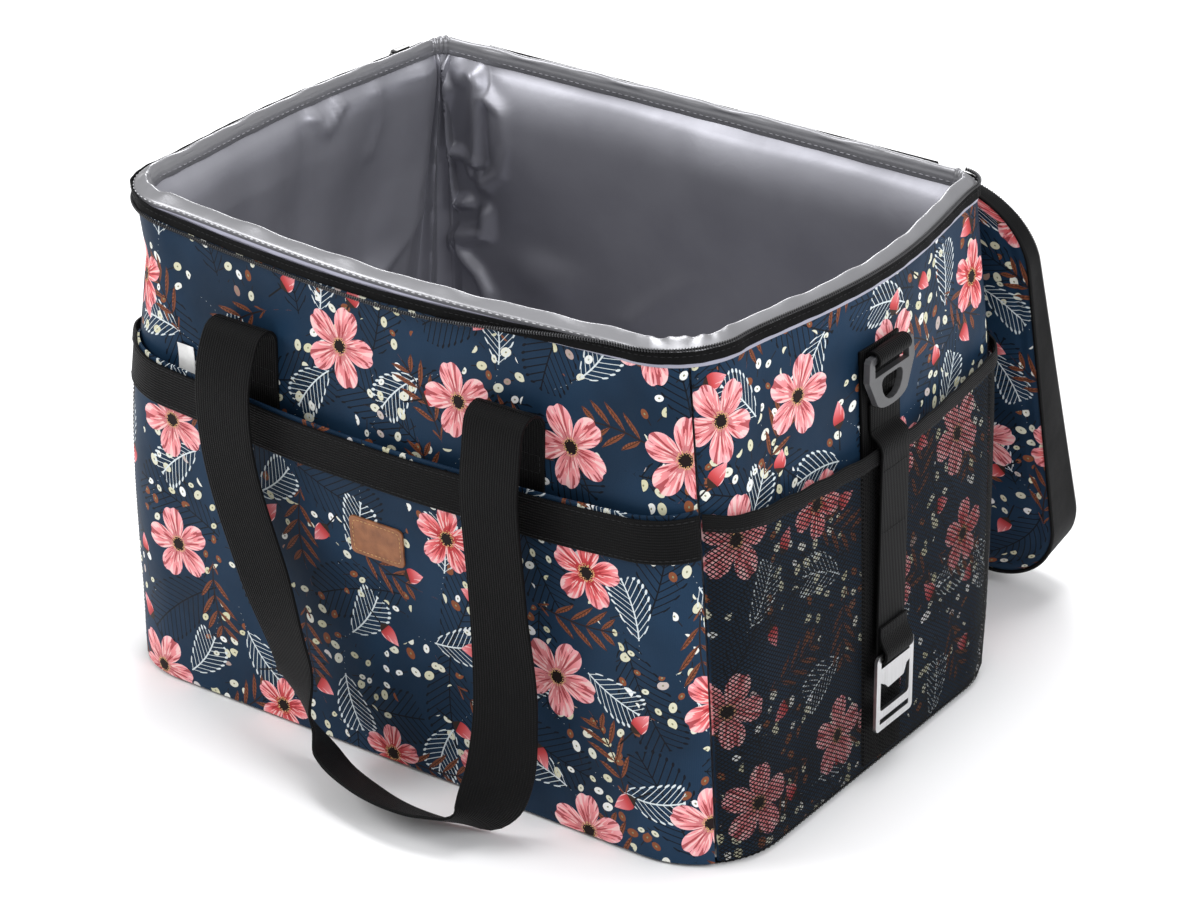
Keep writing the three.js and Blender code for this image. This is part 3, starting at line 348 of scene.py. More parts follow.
def spray(cloth, size, shift, half, pitch, reach, width, slant, bend, lined=True):
    """A curved stem with leaves or hairs in pairs: masks of the leaves, the stem and their tips."""
    x, y, chance, _ = motif_spot(cloth, size, shift, 0.42)
    away = abs(y - x * x * bend)
    swept = x - away * slant
    beside = swept % pitch - pitch / 2
    end = (swept + half * 0.1) / half
    far = (end * end).sum("MULTIPLY_ADD", -1, 1, clamp=True) ** 0.6 * reach
    share = away / (far | 0.0001)
    thick = width if lined else (share * math.pi).sum("SINE") * width
    leaf = (abs(beside) < thick) * (share < 1)
    within = abs(x) < half
    stem = (away < 0.00045) * within
    past = away - far
    tip = ((past * past + beside * beside).sum("SQRT") < 0.00105) * within
    return leaf, stem, tip, chance, beside, share


def blossom_print():
    """The cloth's print: round five-petalled blossoms, buds, paired leaves, ferns and berries on navy."""
    tree = bpy.data.node_groups.new("blossom_print", "ShaderNodeTree")
    tree.interface.new_socket("Cloth", in_out="INPUT", socket_type="NodeSocketVector")
    tree.interface.new_socket("Color", in_out="OUTPUT", socket_type="NodeSocketColor")
    cloth = Measure(tree.nodes.new("NodeGroupInput").outputs[0])
    navy = (0.3, (0.0060, 0.0200, 0.0430)), (0.7, (0.0105, 0.0330, 0.0700))
    ground = noise(cloth, 16, 2, flat=True).toned(*navy)

    leaf, stem, tip, *_ = spray(cloth, 0.066, (0.31, 0.17, 0), 0.034, 0.0050, 0.0165, 0.00045, 0.9, 3)
    colour = ground.inked(leaf | stem | tip, (0.0028, 0.005, 0.0095))

    x, y, chance, kind = motif_spot(cloth, 0.0108, (0.73, 0.21, 0), 0.75)
    here = noise(cloth, 27, 0, flat=True) > 0.54
    colour = colour.inked((abs(y) < 0.00028) * (x < 0) * here, (0.012, 0.009, 0.009))
    across = (x - 0.0004) * 0.72
    far = (across * across + y * y).sum("SQRT")
    berry = (far < chance * 0.0012 + 0.0015) * here
    colour = colour.inked(berry, kind.toned(
        (0.0, (0.62, 0.60, 0.40)), (0.5, (0.72, 0.72, 0.62)),
        (0.74, (0.85, 0.86, 0.86)), (0.8, (0.22, 0.07, 0.03)),
    ))
    colour = colour.inked(berry * (far < 0.0005), (0.24, 0.24, 0.14))

    leaf, stem, tip, chance, *_ = spray(
        cloth, 0.062, (0.05, 0.63, 0), 0.018, 0.0038, 0.0115, 0.00026, 0.95, 7,
    )
    colour = colour.inked((leaf | stem | tip) * (chance > 0.3), (0.66, 0.72, 0.74))

    leaf, stem, _, chance, beside, share = spray(
        cloth, 0.066, (0.41, 0.09, 0), 0.023, 0.0098, 0.0135, 0.0023, 1.1, 5, lined=False,
    )
    shown = chance > 0.25
    hatch = (share * 46 + abs(beside) * 3600).sum("SINE")
    colour = colour.inked(stem * shown, (0.02, 0.012, 0.012))
    colour = colour.inked(leaf * shown, hatch.toned((0.0, (0.135, 0.042, 0.020)), (0.8, (0.26, 0.085, 0.04))))
    colour = colour.inked(leaf * shown * (abs(beside) < 0.00028), (0.04, 0.014, 0.01))

    x, y, chance, kind = motif_spot(cloth, 0.050, (0.87, 0.52, 0), 0.5)
    shown = chance > 0.35
    share = x / (kind * 0.005 + 0.013) + 0.5
    swell = ((share | 0) ** 0.75 * math.pi).sum("SINE")
    bud = (abs(y) < swell * 0.0048) * (share > 0) * (share < 1) * shown
    colour = colour.inked((abs(y) < 0.0005) * (x < 0) * (x > -0.021) * shown, (0.006, 0.006, 0.008))
    colour = colour.inked(bud, share.toned(
        (0.05, (0.16, 0.012, 0.014)), (0.4, (0.56, 0.066, 0.07)), (1.0, (0.84, 0.30, 0.33)),
    ))
    colour = colour.inked(bud * (strokes_of(share * 0.9, y * 1150, 1) > 0.6), (0.86, 0.50, 0.50))
    colour = colour.inked(bud * (share < 0.22), (0.03, 0.018, 0.014))

    x, y, chance, kind = motif_spot(cloth, 0.074, (0.22, 0.38, 0), 0.42)
    shown = chance > 0.16
    far = (x * x + y * y).sum("SQRT")
    angle = y.sum("ARCTAN2", x)
    lobe = abs((angle * 2.5).sum("COSINE"))
    petal = lobe ** 0.5 - lobe ** 40 * 0.08
    share = far / ((kind * 0.007 + 0.019) * (petal * 0.74 + 0.26))
    blossom = (share < 1) * shown
    pink = share.toned(
        (0.1, (0.20, 0.010, 0.014)), (0.38, (0.55, 0.055, 0.062)),
        (0.7, (0.78, 0.16, 0.17)), (1.0, (0.86, 0.36, 0.39)),
    )
    colour = colour.inked(blossom, pink.inked((kind > 0.55) * 0.3, (0.9, 0.55, 0.58)))
    strokes = strokes_of(angle * 9, far * 70, 1.5)
    colour = colour.inked(blossom * (strokes > 0.6) * (share > 0.35) * 0.85, (0.88, 0.60, 0.58))
    colour = colour.inked(blossom * (strokes < 0.4) * 0.8, (0.30, 0.016, 0.024))
    colour = colour.inked((far < 0.0042) * shown, (0.012, 0.006, 0.006))
    grains = {"Vector": cloth, "Scale": 900}
    pollen = measured(tree, "TexVoronoi", grains, "Distance", voronoi_dimensions="2D")
    ring = shown * (far < 0.0056) * (far > 0.0033) * (pollen < 0.32)
    colour = colour.inked(ring, (0.62, 0.38, 0.16))
    tree.links.new(colour.socket, tree.nodes.new("NodeGroupOutput").inputs[0])
    return tree


class Finish:
    """A material: its shader's plain values, and the coordinates that its patterns follow."""

    def __init__(self, name, **plain):
        self.material = bpy.data.materials.new(name)
        self.material.use_nodes = True
        self.tree = self.material.node_tree
        self.skin = self.tree.nodes["Principled BSDF"]
        self.body = measured(self.tree, "TexCoord", {}, "Object")
        for socket, value in plain.items():
            self.skin.inputs[socket.replace("_", " ")].default_value = value

    def cloth(self):
        return measured(self.tree, "UVMap", {}, uv_map="cloth")

    def wired(self, colour, normal, roughness=None):
        self.tree.links.new(colour.socket, self.skin.inputs["Base Color"])
        if normal:
            self.tree.links.new(normal.socket, self.skin.inputs["Normal"])
        if roughness:
            self.tree.links.new(roughness.socket, self.skin.inputs["Roughness"])
        return self.material


def shades(plain, dark, light):
    return tuple(dark * c for c in plain), tuple(light * c for c in plain)


def woven(name, roughness, sheen, printed=None, plain=None, thread=2100, relief=0.25, crease=0.35, shine=0.2):
    """A woven cloth: its print or plain colour, a fine weave and soft creases."""
    made = Finish(
        name, Roughness=roughness, Sheen_Weight=sheen, Sheen_Roughness=0.4, Specular_IOR_Level=shine,
    )
    cloth = made.cloth()
    if printed:
        colour = measured(made.tree, "Group", {0: cloth}, node_tree=printed)
    else:
        dark, light = shades(plain, 0.75, 1.3)
        colour = noise(made.body, 60, 3).toned((0.25, dark), (0.75, light))
    warp, weft = (
        measured(made.tree, "TexWave", {"Vector": cloth, "Scale": thread / 6.3}, 1, bands_direction=way)
        for way in "XY"
    )
    creases = noise(made.body, 22, 3, roughness=0.45)
    return made.wired(colour, creases.bump(crease, 0.006, (warp * weft).bump(relief, 0.0002)))


blossoms = blossom_print()
printed_cloth = woven("printed_polyester", 0.55, 0.0, printed=blossoms, shine=0.12)
PANEL_FOOT, PANEL_TOP, SEAM = 0.0015, 0.2917, 0.0025
for side, name in enumerate(SIDE_NAMES):
    def seamed(u, v, side=side):
        t = mix(SEAM, 1 - SEAM, u)
        z = mix(PANEL_FOOT, PANEL_TOP, v)
        from_seam = np.minimum(t, 1 - t) * 0.43
        tuck = 0.0013 * np.exp(-((from_seam / 0.0022) ** 2))
        hem_pull = 0.0009 * np.exp(-(((z - PANEL_FOOT) / 0.004) ** 2))
        return wall(side + t, z, -tuck - hem_pull)

    panel = lay_sheet(f"{name}_wall", (150, 96), seamed, 0.0011, cloth_from=(0.37 * side, 0.21 * side))
    dress(panel, printed_cloth, "bag", [f"{name}_panel"])

# Base: a panel of black woven cloth sewn to the four walls round its edge, over a sheet of foam. The
# bag stands on the whole of it, and the seam makes a rolled edge.
black_cloth = woven("black_cloth", 0.7, 0.05, plain=(0.006, 0.006, 0.0068), thread=1500)


def round_base(u, v, level, offset, reach, middle, half):
    """Both faces of a flat base piece in one sheet, which turns over at the rounded edge."""
    share = 1 - np.abs(2 * v - 1)
    place = wall(4 * u, level, offset) * np.minimum(1, share / reach)[:, None]
    side = half * np.sqrt(1 - np.clip((share - 0.96) / 0.04, 0, 1) ** 2)
    place[:, 2] = middle + np.where(v < 0.5, -side, side)
    return place


base = lay_sheet(
    "base_cloth", (160, 60), lambda u, v: round_base(u, v, 0.0, -0.0006, 1.0, 0.0006, 0.0006), 0, joined=True,
)
dress(base, black_cloth, "bag", ["base_panel"])

# Foam: white closed-cell sheet, cut to the base and to each wall. It lies between the outer cloth and
# the lining, out of sight, and the seams round it hold it there.
foam = Finish("foam", Roughness=0.85)
foam_cells = measured(foam.tree, "TexVoronoi", {"Vector": foam.body, "Scale": 900}, "Distance")
foam_white = foam.wired(
    foam_cells.toned((0.1, (0.80, 0.80, 0.79)), (0.7, (0.62, 0.62, 0.61))), foam_cells.bump(0.4, 0.0003),
)
FOAM_OUTSIDE, FOAM_THICKNESS = -0.0015, 0.006
LINING_FOOT = 0.0078
for side, name in enumerate(SIDE_NAMES):
    def foam_place(u, v, side=side):
        p = side + mix(CORNER_SHARE, 1 - CORNER_SHARE, u)
        return wall(p, mix(LINING_FOOT, PANEL_TOP, v), FOAM_OUTSIDE)

    pad = lay_sheet(f"{name}_foam_pad", (40, 30), foam_place, FOAM_THICKNESS)
    dress(pad, foam_white, "bag", [f"{name}_foam"])

base_pad = lay_sheet(
    "base_foam_pad", (120, 60), lambda u, v: round_base(u, v, 0.004, -0.0016, 0.98, 0.0045, 0.003), 0,
    joined=True,
)
dress(base_pad, foam_white, "bag", ["base_foam"])

# Liner: one tub of silvery plastic film, welded up its corners and up both long walls. It is larger
# than the bag inside, so it hangs in pleats at the back left corner and bellies out under the hem.
film = Finish("silver_film", Metallic=0.58, Specular_IOR_Level=0.6)
film_creases = noise(film.body, 46, 5, 1.2).bump(0.25, 0.0006)
silver_film = film.wired(
    noise(film.body, 24, 4).toned((0.3, (0.29, 0.29, 0.325)), (0.7, (0.335, 0.335, 0.372))),
    noise(film.body, 9, 2, 0.6).bump(0.35, 0.006, film_creases), noise(film.body, 70, 3).between(0.38, 0.48),
)
LINER_OUTSIDE, LINER_TOP, LINER_FLOOR, FILM = -0.0078, 0.2946, 0.10, 0.0009
LONG_WALL, END_WALL = 0.43, 0.30
# Each fold runs through points counted from the back left corner, has a height, and a foot either side.
FOLDS = [
    ([(-0.117, 0.2915), (-0.132, 0.283), (-0.142, 0.275), (-0.128, 0.257), (-0.130, 0.236)],
     0.0117, 0.0069, 0.0069),
    ([(-0.187, 0.2915), (-0.197, 0.284), (-0.195, 0.264), (-0.188, 0.232)], 0.0148, 0.0040, 0.0173),
    ([(-0.120, 0.231), (-0.155, 0.233), (-0.188, 0.232)], 0.0102, 0.0052, 0.0104),
    ([(-0.120, 0.231), (-0.115, 0.212), (-0.132, 0.195), (-0.157, 0.199)], 0.0086, 0.0058, 0.0058),
    ([(-0.190, 0.232), (-0.163, 0.226), (-0.167, 0.219), (-0.191, 0.222)], 0.0094, 0.0037, 0.0037),
    ([(-0.202, 0.276), (-0.232, 0.270), (-0.237, 0.250), (-0.222, 0.229), (-0.190, 0.217)],
     0.0125, 0.0138, 0.0115),
    ([(-0.078, 0.170), (-0.133, 0.175), (-0.180, 0.182), (-0.185, 0.196)], 0.0094, 0.0052, 0.0104),
    ([(-0.181, 0.180), (-0.132, 0.168), (-0.149, 0.158), (-0.166, 0.152), (-0.180, 0.140), (-0.19, 0.08)],
     0.0086, 0.0069, 0.0069),
    ([(-0.498, 0.190), (-0.401, 0.146)], 0.0044, 0.0048, 0.0160),
    ([(0.140, 0.192), (0.274, 0.158)], 0.0062, 0.0056, 0.0208),
    ([(0.470, 0.2915), (0.440, 0.278), (0.395, 0.2915)], 0.0075, 0.0088, 0.0088),
    ([(0.300, 0.2915), (0.290, 0.270), (0.310, 0.250)], 0.0056, 0.0144, 0.0144),
    ([(0.175, 0.290), (0.160, 0.225), (0.190, 0.140)], 0.0081, 0.0320, 0.0384),
    ([(0.035, 0.291), (0.050, 0.230), (0.030, 0.150), (0.040, 0.060)], 0.0069, 0.0128, 0.0176),
]
SWELLS = [
    (-0.165, 0.284, 0.0080, 0.0085, 0.0080), (-0.272, 0.163, 0.0240, 0.0170, 0.0075),
    (-0.300, 0.225, 0.0260, 0.0350, 0.0045), (-0.150, 0.120, 0.0150, 0.0300, 0.0050),
    (-0.660, 0.200, 0.0500, 0.0500, 0.0035), (0.620, 0.200, 0.0300, 0.0500, 0.0040),
]
WELDS = {-0.5: 0.12, -0.082: 0.5, 0.5: 0.5, 1.0: 0.5, 1.5: 0.5, 2.0: 0.5}
BACK_SWELL, END_SWELL, DRAPE, LOOSE = 0.0115, 0.0050, 0.0022, 0.0009
SHELF_DROP, SHELF_FADE, BELLY_DROP, BELLY_FADE = 0.017, 0.042, 0.034, 0.060
WELD_WIDE, WELD_LINE, WELD_RAISED = 0.0028, 0.0012, 0.0008


def bell(value, middle, spread):
    return np.exp(-(((value - middle) / spread) ** 2))


def from_corner(q):
    """Metres along the wall for a count from the back left corner."""
    return q * np.where(np.asarray(q) < 0, LONG_WALL, END_WALL)


def fold_height(across, z, line, height, left, right):
    """A creased fold of film along a line on the wall, steeper on one side than on the other."""
    nearest = np.full_like(across, 1.0)
    hand = np.zeros_like(across)
    for (q0, z0), (q1, z1) in zip(line, line[1:]):
        x0, x1 = from_corner(q0), from_corner(q1)
        dx, dz = x1 - x0, z1 - z0
        t = np.clip(((across - x0) * dx + (z - z0) * dz) / (dx * dx + dz * dz), 0, 1)
        gap = np.hypot(across - x0 - t * dx, z - z0 - t * dz)
        hand = np.where(gap < nearest, np.sign((across - x0) * dz - (z - z0) * dx), hand)
        nearest = np.minimum(nearest, gap)
    return height * np.clip(1 - nearest / np.where(hand > 0, left, right), 0, 1) ** 1.4


def slump(p, z):
    """How far the film hangs into the bag."""
    q = np.where(p > 2.4, p - 4, p)
    across = from_corner(q)
    heaped = np.full_like(q, 1e-12)
    for fold in FOLDS:
        heaped += fold_height(across, z, *fold) ** 3
    for at, level, wide, tall, height in SWELLS:
        heaped += (height * bell(across, from_corner(at), wide) * bell(z, level, tall)) ** 3
    back = 1 / (1 + np.exp((q + 0.20) / 0.012)) / (1 + np.exp(-(q + 0.93) / 0.02))
    drop = LINER_TOP - z
    rounded = np.sin(math.pi / 2 * np.clip(drop / SHELF_DROP, 0, 1)) ** 0.8
    shelf = np.where(drop < SHELF_DROP, rounded, bell(drop, SHELF_DROP, SHELF_FADE))
    filled = 1 - (1 - np.clip(drop / BELLY_DROP, 0, 1)) ** 2
    belly = np.where(drop < BELLY_DROP, filled, bell(drop, BELLY_DROP, BELLY_FADE))
    heaped += (BACK_SWELL * belly * back * (1 + 0.12 * np.sin(19 * q))) ** 3
    heaped += (END_SWELL * shelf * (1 - back)) ** 3
    ripple = np.sin(9 * q + 4 * z / HEIGHT) * np.sin(6 * z / HEIGHT + 5 * q + 1)
    hangs = bell(q, 0.5, 0.42) * np.clip(drop / 0.05, 0, 1)
    drape = DRAPE * (1 + np.sin(31 * q + 5 * (z / HEIGHT - 0.5))) * hangs
    amount = heaped ** (1 / 3) + LOOSE * (1 + ripple) + drape
    for weld, pull in WELDS.items():
        gap = np.abs(q - weld) * 0.36
        amount = amount * (1 - pull * bell(gap, 0, WELD_WIDE)) + WELD_RAISED * bell(gap, 0, WELD_LINE)
    return amount * np.clip(drop / 0.004, 0, 1) * np.clip((z - 0.012) / 0.05, 0, 1)


def softened(p, z, reach=0.0016):
    """The same hang with its creases rounded off over a millimetre or two."""
    steps = [(across, up) for across in (-1, 0, 1) for up in (-1, 0, 1)]
    return sum(slump(p + across * reach / LONG_WALL, z + up * reach) for across, up in steps) / len(steps)


# Columns of the film's mesh lie closest together where it crumples, just before the last corner.
COLUMN_SHARES = (0.0, 0.02, 0.12, 0.24, 0.37, 0.48, 0.62, 0.95, 1.0)
COLUMN_COUNTS = (0.0, 0.04, 0.30, 0.85, 2.2, 3.1, 3.68, 3.95, 4.0)


def liner_place(u, v):
    p = np.interp(u, COLUMN_SHARES, COLUMN_COUNTS)
    share = np.clip(v / LINER_FLOOR, 0, 1)
    z = mix(LINING_FOOT, LINER_TOP, np.clip((v - LINER_FLOOR) / (1 - LINER_FLOOR), 0, 1))
    place = wall(p, z, LINER_OUTSIDE - softened(np.mod(p, 4), z))
    level = wall(p, LINING_FOOT, LINER_OUTSIDE) * share[:, None]
    ruffle = 0.0011 * (1 + np.sin(38 * level[:, 0] + 3) * np.sin(45 * level[:, 1]))
    level[:, 2] = LINING_FOOT + ruffle * np.clip((1 - share) * 8, 0, 1)
    return np.where((v < LINER_FLOOR)[:, None], level, place)


liner = lay_sheet("liner", (320, 150), liner_place, FILM, joined=True)
dress(liner, silver_film, "bag", ["liner_tub"], angle=60)

# Rim hem: the liner's top edge rolled over a cord and sewn down over the walls, with a flat stitched
# flap and a thin bright edge outside the roll. It pinches up where it turns the front and back corners.
HEM_LINE = np.array([
    (-0.0090, -0.0100), (0.0006, -0.0130), (0.0006, -0.0104), (0.0008, -0.0100), (0.0008, -0.0060),
    (0.0006, -0.0055), (0.0003, -0.0052), (0.0001, -0.0047), (0.0000, -0.0042), (-0.0006, -0.0036),
    (-0.0018, -0.0027), (-0.0032, -0.0017), (-0.0046, -0.0008), (-0.0057, -0.0002), (-0.0065, 0.0),
    (-0.0073, -0.0004), (-0.0079, -0.0013), (-0.0085, -0.0027), (-0.0092, -0.0048), (-0.0095, -0.0070),
    (-0.0094, -0.0088), (-0.0090, -0.0100),
])
hem_run = distances(HEM_LINE)
# The film in the stitched flap's groove is given painted shade: it is the same film as the roll, darkened to
# stand for the groove's shadow.
LAVENDER, FLAP_GROOVE_SHADE, ROLL = (0.34, 0.34, 0.42), (0.09, 0.09, 0.10), (0.27, 0.27, 0.285)
hem_stops = [
    (hem_run[point] / hem_run[-1], colour)
    for point, colour in (
        (0, ROLL), (2, LAVENDER), (5, LAVENDER), (6, FLAP_GROOVE_SHADE), (8, FLAP_GROOVE_SHADE), (9, ROLL), (21, ROLL),
    )
]
hem_finish = Finish("hem_film", Metallic=0.55, Roughness=0.31)
hem_width = measured(hem_finish.tree, "SeparateXYZ", {0: hem_finish.cloth()}, 1)
hem_film = hem_finish.wired(
    (hem_width / float(hem_run[-1])).toned(*hem_stops), noise(hem_finish.body, 55, 4, 0.8).bump(0.3, 0.0009),
)
PINCHED = {0.0: 3, 1.0: 3, 2.0: 5, 3.0: 4, 4.0: 3}


def pinch(p):
    """Ridges of gathered film round each corner of the rim."""
    return sum(
        bell(p, corner, 0.11) * (0.5 + 0.5 * np.cos((p - corner) * math.pi * humps / 0.11))
        for corner, humps in PINCHED.items()
    )


def hem_place(u, v):
    p = 4 * u
    out = np.interp(v * hem_run[-1], hem_run, HEM_LINE[:, 0])
    drop = np.interp(v * hem_run[-1], hem_run, HEM_LINE[:, 1])
    roll = bell(out, -0.0066, 0.0030) * (drop > -0.0030)
    wander = 0.0004 * np.sin(45 * p) + 0.0003 * np.sin(83 * p + 1)
    over_hinge = 0.0013 * bell(p, 3.5, 0.42) ** 0.5
    inward = (out < -0.0084) * (0.0006 * pinch(p) + 0.5 * wander)
    return wall(p, HEIGHT + drop + roll * (0.0009 * pinch(p) + wander + over_hinge), out - inward)


hem = lay_sheet("rim_hem", (760, 64), hem_place, 0, joined=True)
dress(hem, hem_film, "bag", [f"{name}_hem" for name in SIDE_NAMES], angle=70)
thread_grey = woven("grey_thread", 0.6, 0.2, plain=(0.50, 0.50, 0.52), thread=4000)
thread_dim = woven("dim_thread", 0.6, 0.2, plain=(0.24, 0.24, 0.26), thread=4000)
thread_black = woven("black_thread", 0.6, 0.0, plain=(0.012, 0.012, 0.013), thread=4000)


def path_frames(path, facing):
    """Directions along a path, its facing made square to them, and the way beside it."""
    run = np.gradient(path, axis=0)
    run /= np.linalg.norm(run, axis=1)[:, None]
    face = facing - (facing * run).sum(1)[:, None] * run
    face /= np.linalg.norm(face, axis=1)[:, None]
    return run, face, np.cross(run, face)


def new_mesh(name, places, faces):
    mesh = bpy.data.meshes.new(name)
    mesh.from_pydata([tuple(point) for point in places], [], faces)
    piece = bpy.data.objects.new(name, mesh)
    bpy.context.scene.collection.objects.link(piece)
    pick(piece)
    edit_all(bpy.ops.mesh.normals_make_consistent, inside=False)
    return piece


def repeat_along(name, path, facing, pitch, size, finish, body="bag"):
    """One small rounded bead, size long, wide and high, repeated along a path as stitches or teeth."""
    bpy.ops.object.select_all(action="DESELECT")
    bpy.ops.mesh.primitive_uv_sphere_add(segments=6, ring_count=4, radius=0.5)
    bead = bpy.context.active_object
    shape = np.array([v.co[:][::-1] for v in bead.data.vertices]) * size
    rings = [tuple(f.vertices) for f in bead.data.polygons]
    bpy.data.objects.remove(bead)
    path = np.asarray(path, float)
    length = distances(path)
    frames = path_frames(path, np.broadcast_to(np.asarray(facing, float), path.shape))
    count = max(1, int(length[-1] / pitch))
    places, faces = [], []
    for index in range(count):
        at = (index + 0.5) * length[-1] / count
        spot, run, face, beside = (
            np.array([np.interp(at, length, coordinate) for coordinate in values.T])
            for values in (path, *frames)
        )
        faces += [tuple(i + len(places) for i in ring) for ring in rings]
        places.extend(spot + shape[:, :1] * run + shape[:, 1:2] * beside + shape[:, 2:] * face)
    return dress(new_mesh(name, places, faces), finish, body, (), angle=80)


def outward(p, z):
    """Directions square to the shell, at points counted round it."""
    return wall(p, z, 0.01) - wall(p, z, 0)


rim_counts = np.linspace(0, 4, 1200)
repeat_along(
    "hem_stitches", wall(rim_counts, HEIGHT - 0.0047, 0.0003), outward(rim_counts, HEIGHT),
    0.0044, (0.0025, 0.0008, 0.0006), thread_grey,
)
back_flap = np.linspace(3.06, 4.92, 900)
repeat_along(
    "hem_inner_stitches", wall(back_flap, HEIGHT - 0.0070, -0.0096), -outward(back_flap, HEIGHT),
    0.0044, (0.0031, 0.0006, 0.0006), thread_dim,
)

# Rim zipper: a woven tape sewn round the left, front and right edges with its coil of nylon teeth.
# It stands up along both ends and is folded down along the front.
woven_tape = woven(
    "zipper_tape", 0.7, 0.0, plain=(0.0028, 0.0028, 0.0031), thread=2600, relief=0.5, crease=0.15, shine=0.1,
)
# The teeth's black nylon is given a grey a little lighter than the tape and the coil's core. This is a
# painted highlight that makes the teeth show as bright dots.
nylon = woven(
    "coil_nylon_painted_highlight", 0.3, 0.0, plain=(0.036, 0.036, 0.039), thread=4200, relief=0.15, crease=0.0, shine=0.7,
)
TAPE_FROM, TAPE_TO = -0.13, 3.13
TAPE_INSIDE, TAPE_THICK, TAPE_WIDE = 0.0009, 0.0012, 0.0064
FOLD_FROM, FOLD_TO = 0.95, 1.27
TURN_FROM, TURN_TO = 1.35, 2.05


def eased(value, low, high):
    share = np.clip((value - low) / (high - low), 0, 1)
    return share * share * (3 - 2 * share)


def tape_top(p):
    upright = 1 - eased(p, FOLD_FROM, FOLD_TO) + eased(p, TURN_FROM, TURN_TO)
    return mix(HEIGHT - 0.009, HEIGHT - 0.004, upright)


def tape_place(u, v):
    p = mix(TAPE_FROM, TAPE_TO, u)
    wander = 0.0002 * np.sin(60 * p) + 0.00015 * np.sin(131 * p)
    return wall(p, tape_top(p) - TAPE_WIDE * (1 - v), TAPE_INSIDE + TAPE_THICK - 0.0002 + wander)


tape = lay_sheet("rim_zipper_tape", (620, 6), tape_place, TAPE_THICK - 0.0003)
dress(tape, woven_tape, "bag", ["rim_tape"])


def coil_path(p):
    top = tape_top(p)
    turned = np.clip((p - TURN_FROM) / (TURN_TO - TURN_FROM), 0, 1)
    pushed = np.minimum(eased(turned, 0, 0.25), 1 - eased(turned, 0.75, 1))
    z = mix(top - TAPE_WIDE - 0.0016, top + 0.0016, eased(turned, 0.25, 0.75))
    return wall(p, z, mix(0.0021, 0.0037, pushed))


def core(name, path, facing, radius, finish, body, nodes=()):
    """A round cord laid along a path and closed at both ends."""
    path = np.asarray(path, float)
    _, face, beside = path_frames(path, np.broadcast_to(np.asarray(facing, float), path.shape))

    def place(u, v):
        spot = v * (len(path) - 1)
        angle = -2 * math.pi * u
        low = np.minimum(np.floor(spot).astype(int), len(path) - 2)
        part = (spot - low)[:, None]

        def between(values):
            return values[low] * (1 - part) + values[low + 1] * part

        small = np.where((v < 1e-6) | (v > 1 - 1e-6), 0.0, 1.0)[:, None]
        around = np.cos(angle)[:, None] * between(face) + np.sin(angle)[:, None] * between(beside)
        return between(path) + small * radius * around

    piece = lay_sheet(name, (8, len(path) - 1), place, 0, joined=True)
    pick(piece)
    edit_all(bpy.ops.mesh.normals_make_consistent, inside=False)
    return dress(piece, finish, body, nodes, angle=70)


COIL_RADIUS, TOOTH_PITCH = 0.00055, 0.0016
coil_counts = np.linspace(TAPE_FROM, TAPE_TO, 900)
coil_line, coil_out = coil_path(coil_counts), outward(coil_counts, HEIGHT)
core("rim_coil_core", coil_line, coil_out, COIL_RADIUS, woven_tape, "bag", ["rim_coil"])
repeat_along(
    "rim_coil_teeth", coil_line, coil_out, TOOTH_PITCH, (0.00095, 0.0026, 0.0025), nylon,
)
seam_counts = np.linspace(TAPE_FROM + 0.01, TAPE_TO - 0.01, 900)
repeat_along(
    "tape_stitches", wall(seam_counts, tape_top(seam_counts) - 0.0022, 0.0021), outward(seam_counts, HEIGHT),
    0.0036, (0.0026, 0.0005, 0.0003), thread_black,
)

# Front pocket: one printed panel sewn down at its sides and foot, its mouth hemmed and held by a
# webbing band that sags a little between the side seams. A thin lip of the print shows above it.
BAND_TOP, BAND_SAG, BAND_WIDTH = 0.213, 0.008, 0.025
POCKET_LIP = 0.002


def pocket_standoff(p, z):
    across = 1 - (2 * (p - FRONT) - 1) ** 4
    up = np.clip((z - PANEL_FOOT) / (BAND_TOP - PANEL_FOOT), 0, 1.1)
    return 0.0003 + 0.007 * across * up**1.5


def band_edge(p):
    return BAND_TOP - BAND_SAG * (1 - (2 * (p - FRONT) - 1) ** 2)


def pocket_place(u, v):
    p = FRONT + mix(SEAM, 1 - SEAM, u)
    z = mix(PANEL_FOOT, band_edge(p) + POCKET_LIP, v)
    from_seam = np.minimum(u, 1 - u) * 0.41
    tuck = 0.0006 * bell(from_seam, 0, 0.003)
    calm = np.clip((0.9 - v) * 5, 0, 1) * np.clip(v * 8, 0, 1)
    drape = 0.0006 * np.sin(21 * u + 5 * v) * np.sin(7 * v + 2) * calm
    return wall(p, z, pocket_standoff(p, z) + 0.0012 - tuck + drape * (from_seam > 0.004))


pocket = lay_sheet("front_pocket_cloth", (150, 76), pocket_place, 0.0011, cloth_from=(1.83, 0.66))
dress(pocket, printed_cloth, "bag", ["front_pocket"])


